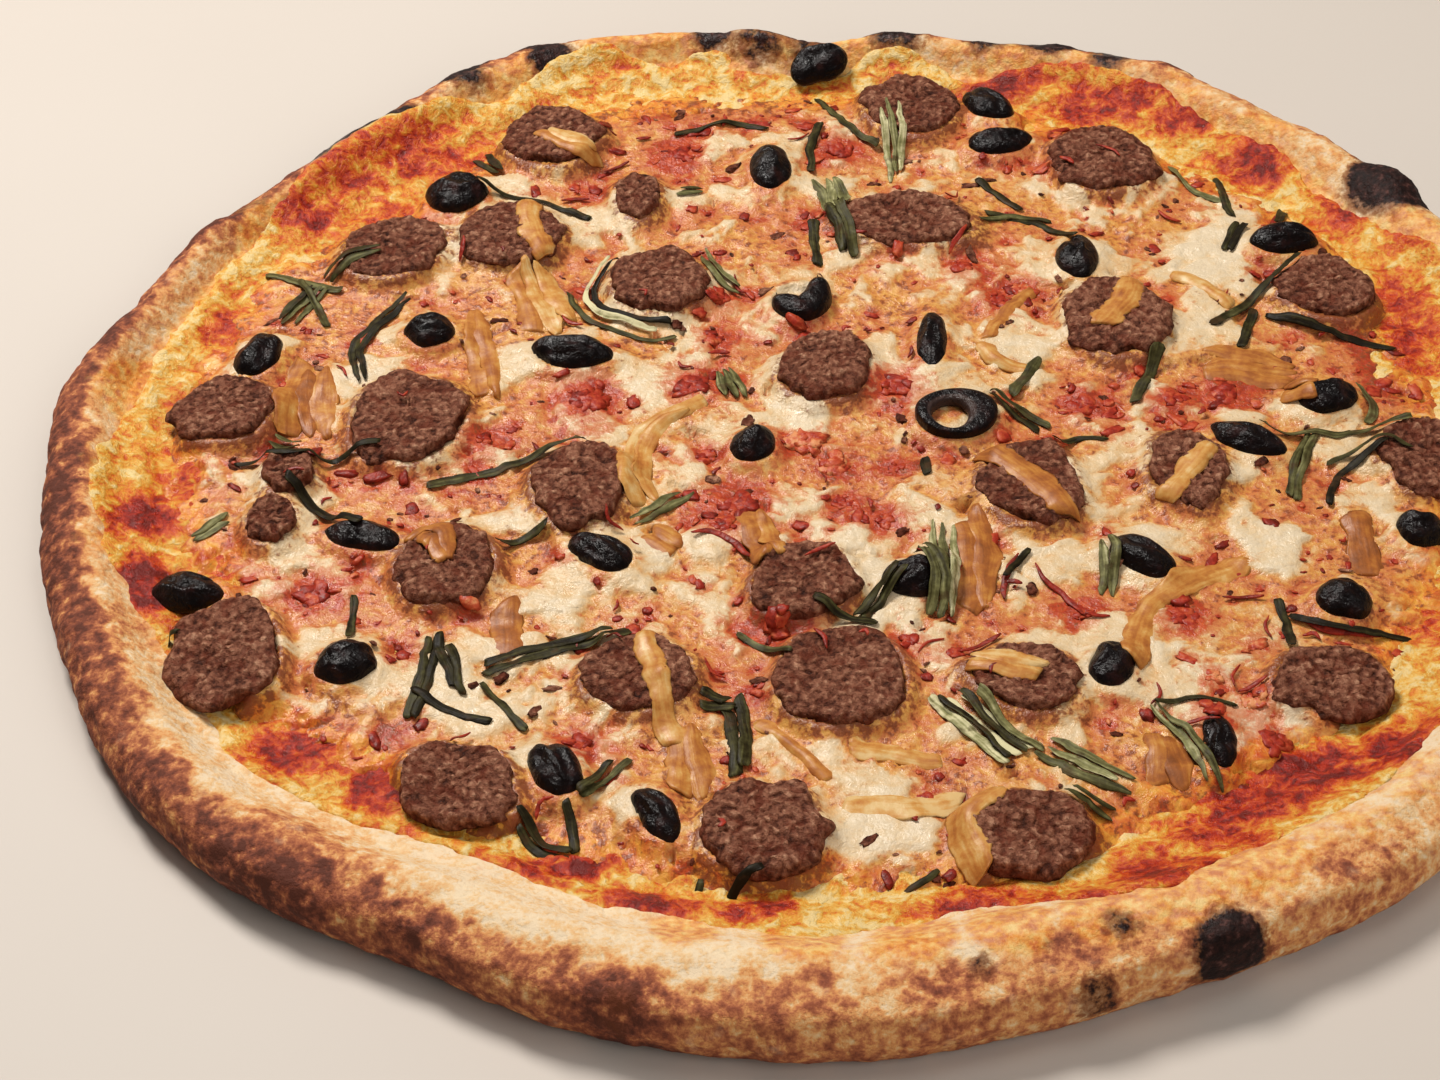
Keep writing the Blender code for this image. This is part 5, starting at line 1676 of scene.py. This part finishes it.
def cluster(number, x, y, radius, seed):
    """A few soft dice side by side."""
    for k in range(3 + round(radius)):
        out = radius * 0.62 * math.sqrt(k / (3 + radius))
        angle = 2.4 * k + number
        size = radius * (0.42 + 0.14 * chance(number, k, seed + 2))
        sizes = (size * 1.2, size * 0.85, 0.20 * size + 0.2)
        at = (x + out * math.cos(angle), y + out * math.sin(angle))
        yield lump(10 * number + k, *at, sizes, angle * 1.7, 0.30 * size + 0.35, seed)


def make_tomatoes(material):
    solids = []
    for number, (x, y, radius, *tone) in enumerate(TOMATOES):
        for k, (points, faces) in enumerate(cluster(number, x, y, radius, 223)):
            own_tone = (tone[0] if tone else 0.5) + 0.3 * chance(number, k, 221)
            solids.append((points, faces, {"tone": own_tone}))
    return joined("tomato_dice", solids, material)


def make_crumbs(name, bits, seed, material):
    """One piece of many small bits pressed into the cheese."""
    solids = []
    for number, x, y, size, stretch, tone in bits:
        half = (size * stretch / 2, size / stretch / 2, 0.07 * size + 0.11)
        points, faces = lump(number, x, y, half, float(number), 0.11 * size + 0.10, seed)
        solids.append((points, faces, {"height": tone, "tone": tone}))
    return joined(name, solids, material)


FLOOR_HALF = 3.0


def make_stage():
    mesh = bpy.data.meshes.new("floor")
    corners = [(FLOOR_HALF * a, FLOOR_HALF * b, 0) for a, b in ((-1, -1), (1, -1), (1, 1), (-1, 1))]
    mesh.from_pydata(corners, [], [(0, 1, 2, 3)])
    floor = bpy.data.objects.new("floor", mesh)
    g = Graph("pale_floor")
    colour = g.ramp(g.noise(200, 2), ((0.0, (0.56, 0.50, 0.44)), (1.0, (0.60, 0.54, 0.48))))
    mesh.materials.append(g.finish(colour, 0.6))
    bpy.context.scene.collection.objects.link(floor)


def area_light(name, place, size, power, colour):
    """A round lamp that faces the pizza."""
    light = bpy.data.lights.new(name, "AREA")
    light.shape = "DISK"
    light.size = size
    light.energy = power
    light.color = colour
    made = bpy.data.objects.new(name, light)
    made.rotation_euler = Vector(place).to_track_quat("Z", "Y").to_euler()
    made.location = place
    bpy.context.scene.collection.objects.link(made)
    return made


def make_lights():
    area_light("key", (-0.55, 0.75, 1.25), 0.5, 26, (1.0, 0.97, 0.93))
    # The fill only softens the shadows, so shiny things don't mirror it
    fill = area_light("fill", (0.8, -1.0, 0.9), 1.2, 9.0, (1.0, 0.98, 0.96))
    fill.visible_glossy = False
    area_light("overhead", (0.3, 0.1, 1.6), 0.9, 3.5, (1.0, 1.0, 1.0))
    world = bpy.data.worlds.new("soft_room")
    world.use_nodes = True
    background = world.node_tree.nodes["Background"]
    background.inputs["Color"].default_value = (1.0, 0.95, 0.90, 1)
    background.inputs["Strength"].default_value = 0.15
    bpy.context.scene.world = world


def make_camera():
    """The camera at the photograph's viewing angle."""
    back = np.array([0, -math.cos(CAMERA_ELEVATION), math.sin(CAMERA_ELEVATION)])
    right = np.array([1.0, 0, 0])
    up = np.cross(back, right)
    c, s = math.cos(CAMERA_ROLL), math.sin(CAMERA_ROLL)
    place = np.array(CAMERA_TARGET) + back * CAMERA_DISTANCE - (*MIDDLE, 0)
    data = bpy.data.cameras.new("camera")
    data.lens = CAMERA_LENS
    data.sensor_width = 36
    camera = bpy.data.objects.new("camera", data)
    matrix = np.eye(4)
    matrix[:3] = np.column_stack([c * right + s * up, -s * right + c * up, back, place * MM])
    camera.matrix_world = Matrix(matrix.tolist())
    bpy.context.scene.collection.objects.link(camera)
    bpy.context.scene.camera = camera


def main():
    make_camera()
    make_crust()
    make_sauce()
    make_cheese()
    meat = meat_material()
    for number in range(1, len(MEATS) + 1):
        make_meat(number, LYING[number - 1], meat)
    olive = olive_material()
    for number, row in enumerate(OLIVES, 1):
        make_olive(number, LYING[len(MEATS) + number - 1], row[5:], olive)
    make_olive_ring(len(OLIVES) + 1, LYING[-2], olive)
    make_olive_crescent(len(OLIVES) + 2, LYING[-1], olive)
    tomato = tomato_material()
    make_tomatoes(tomato)
    make_crumbs("tomato_bits", RED_BITS, 246, tomato)
    make_crumbs("meat_crumbs", BROWN_BITS, 256, meat)
    make_slivers(tomato)
    make_onions()
    make_greens()
    make_stage()
    make_lights()
    bpy.context.scene.view_settings.view_transform = "Standard"
    bpy.context.scene.view_settings.gamma = 0.93


main()
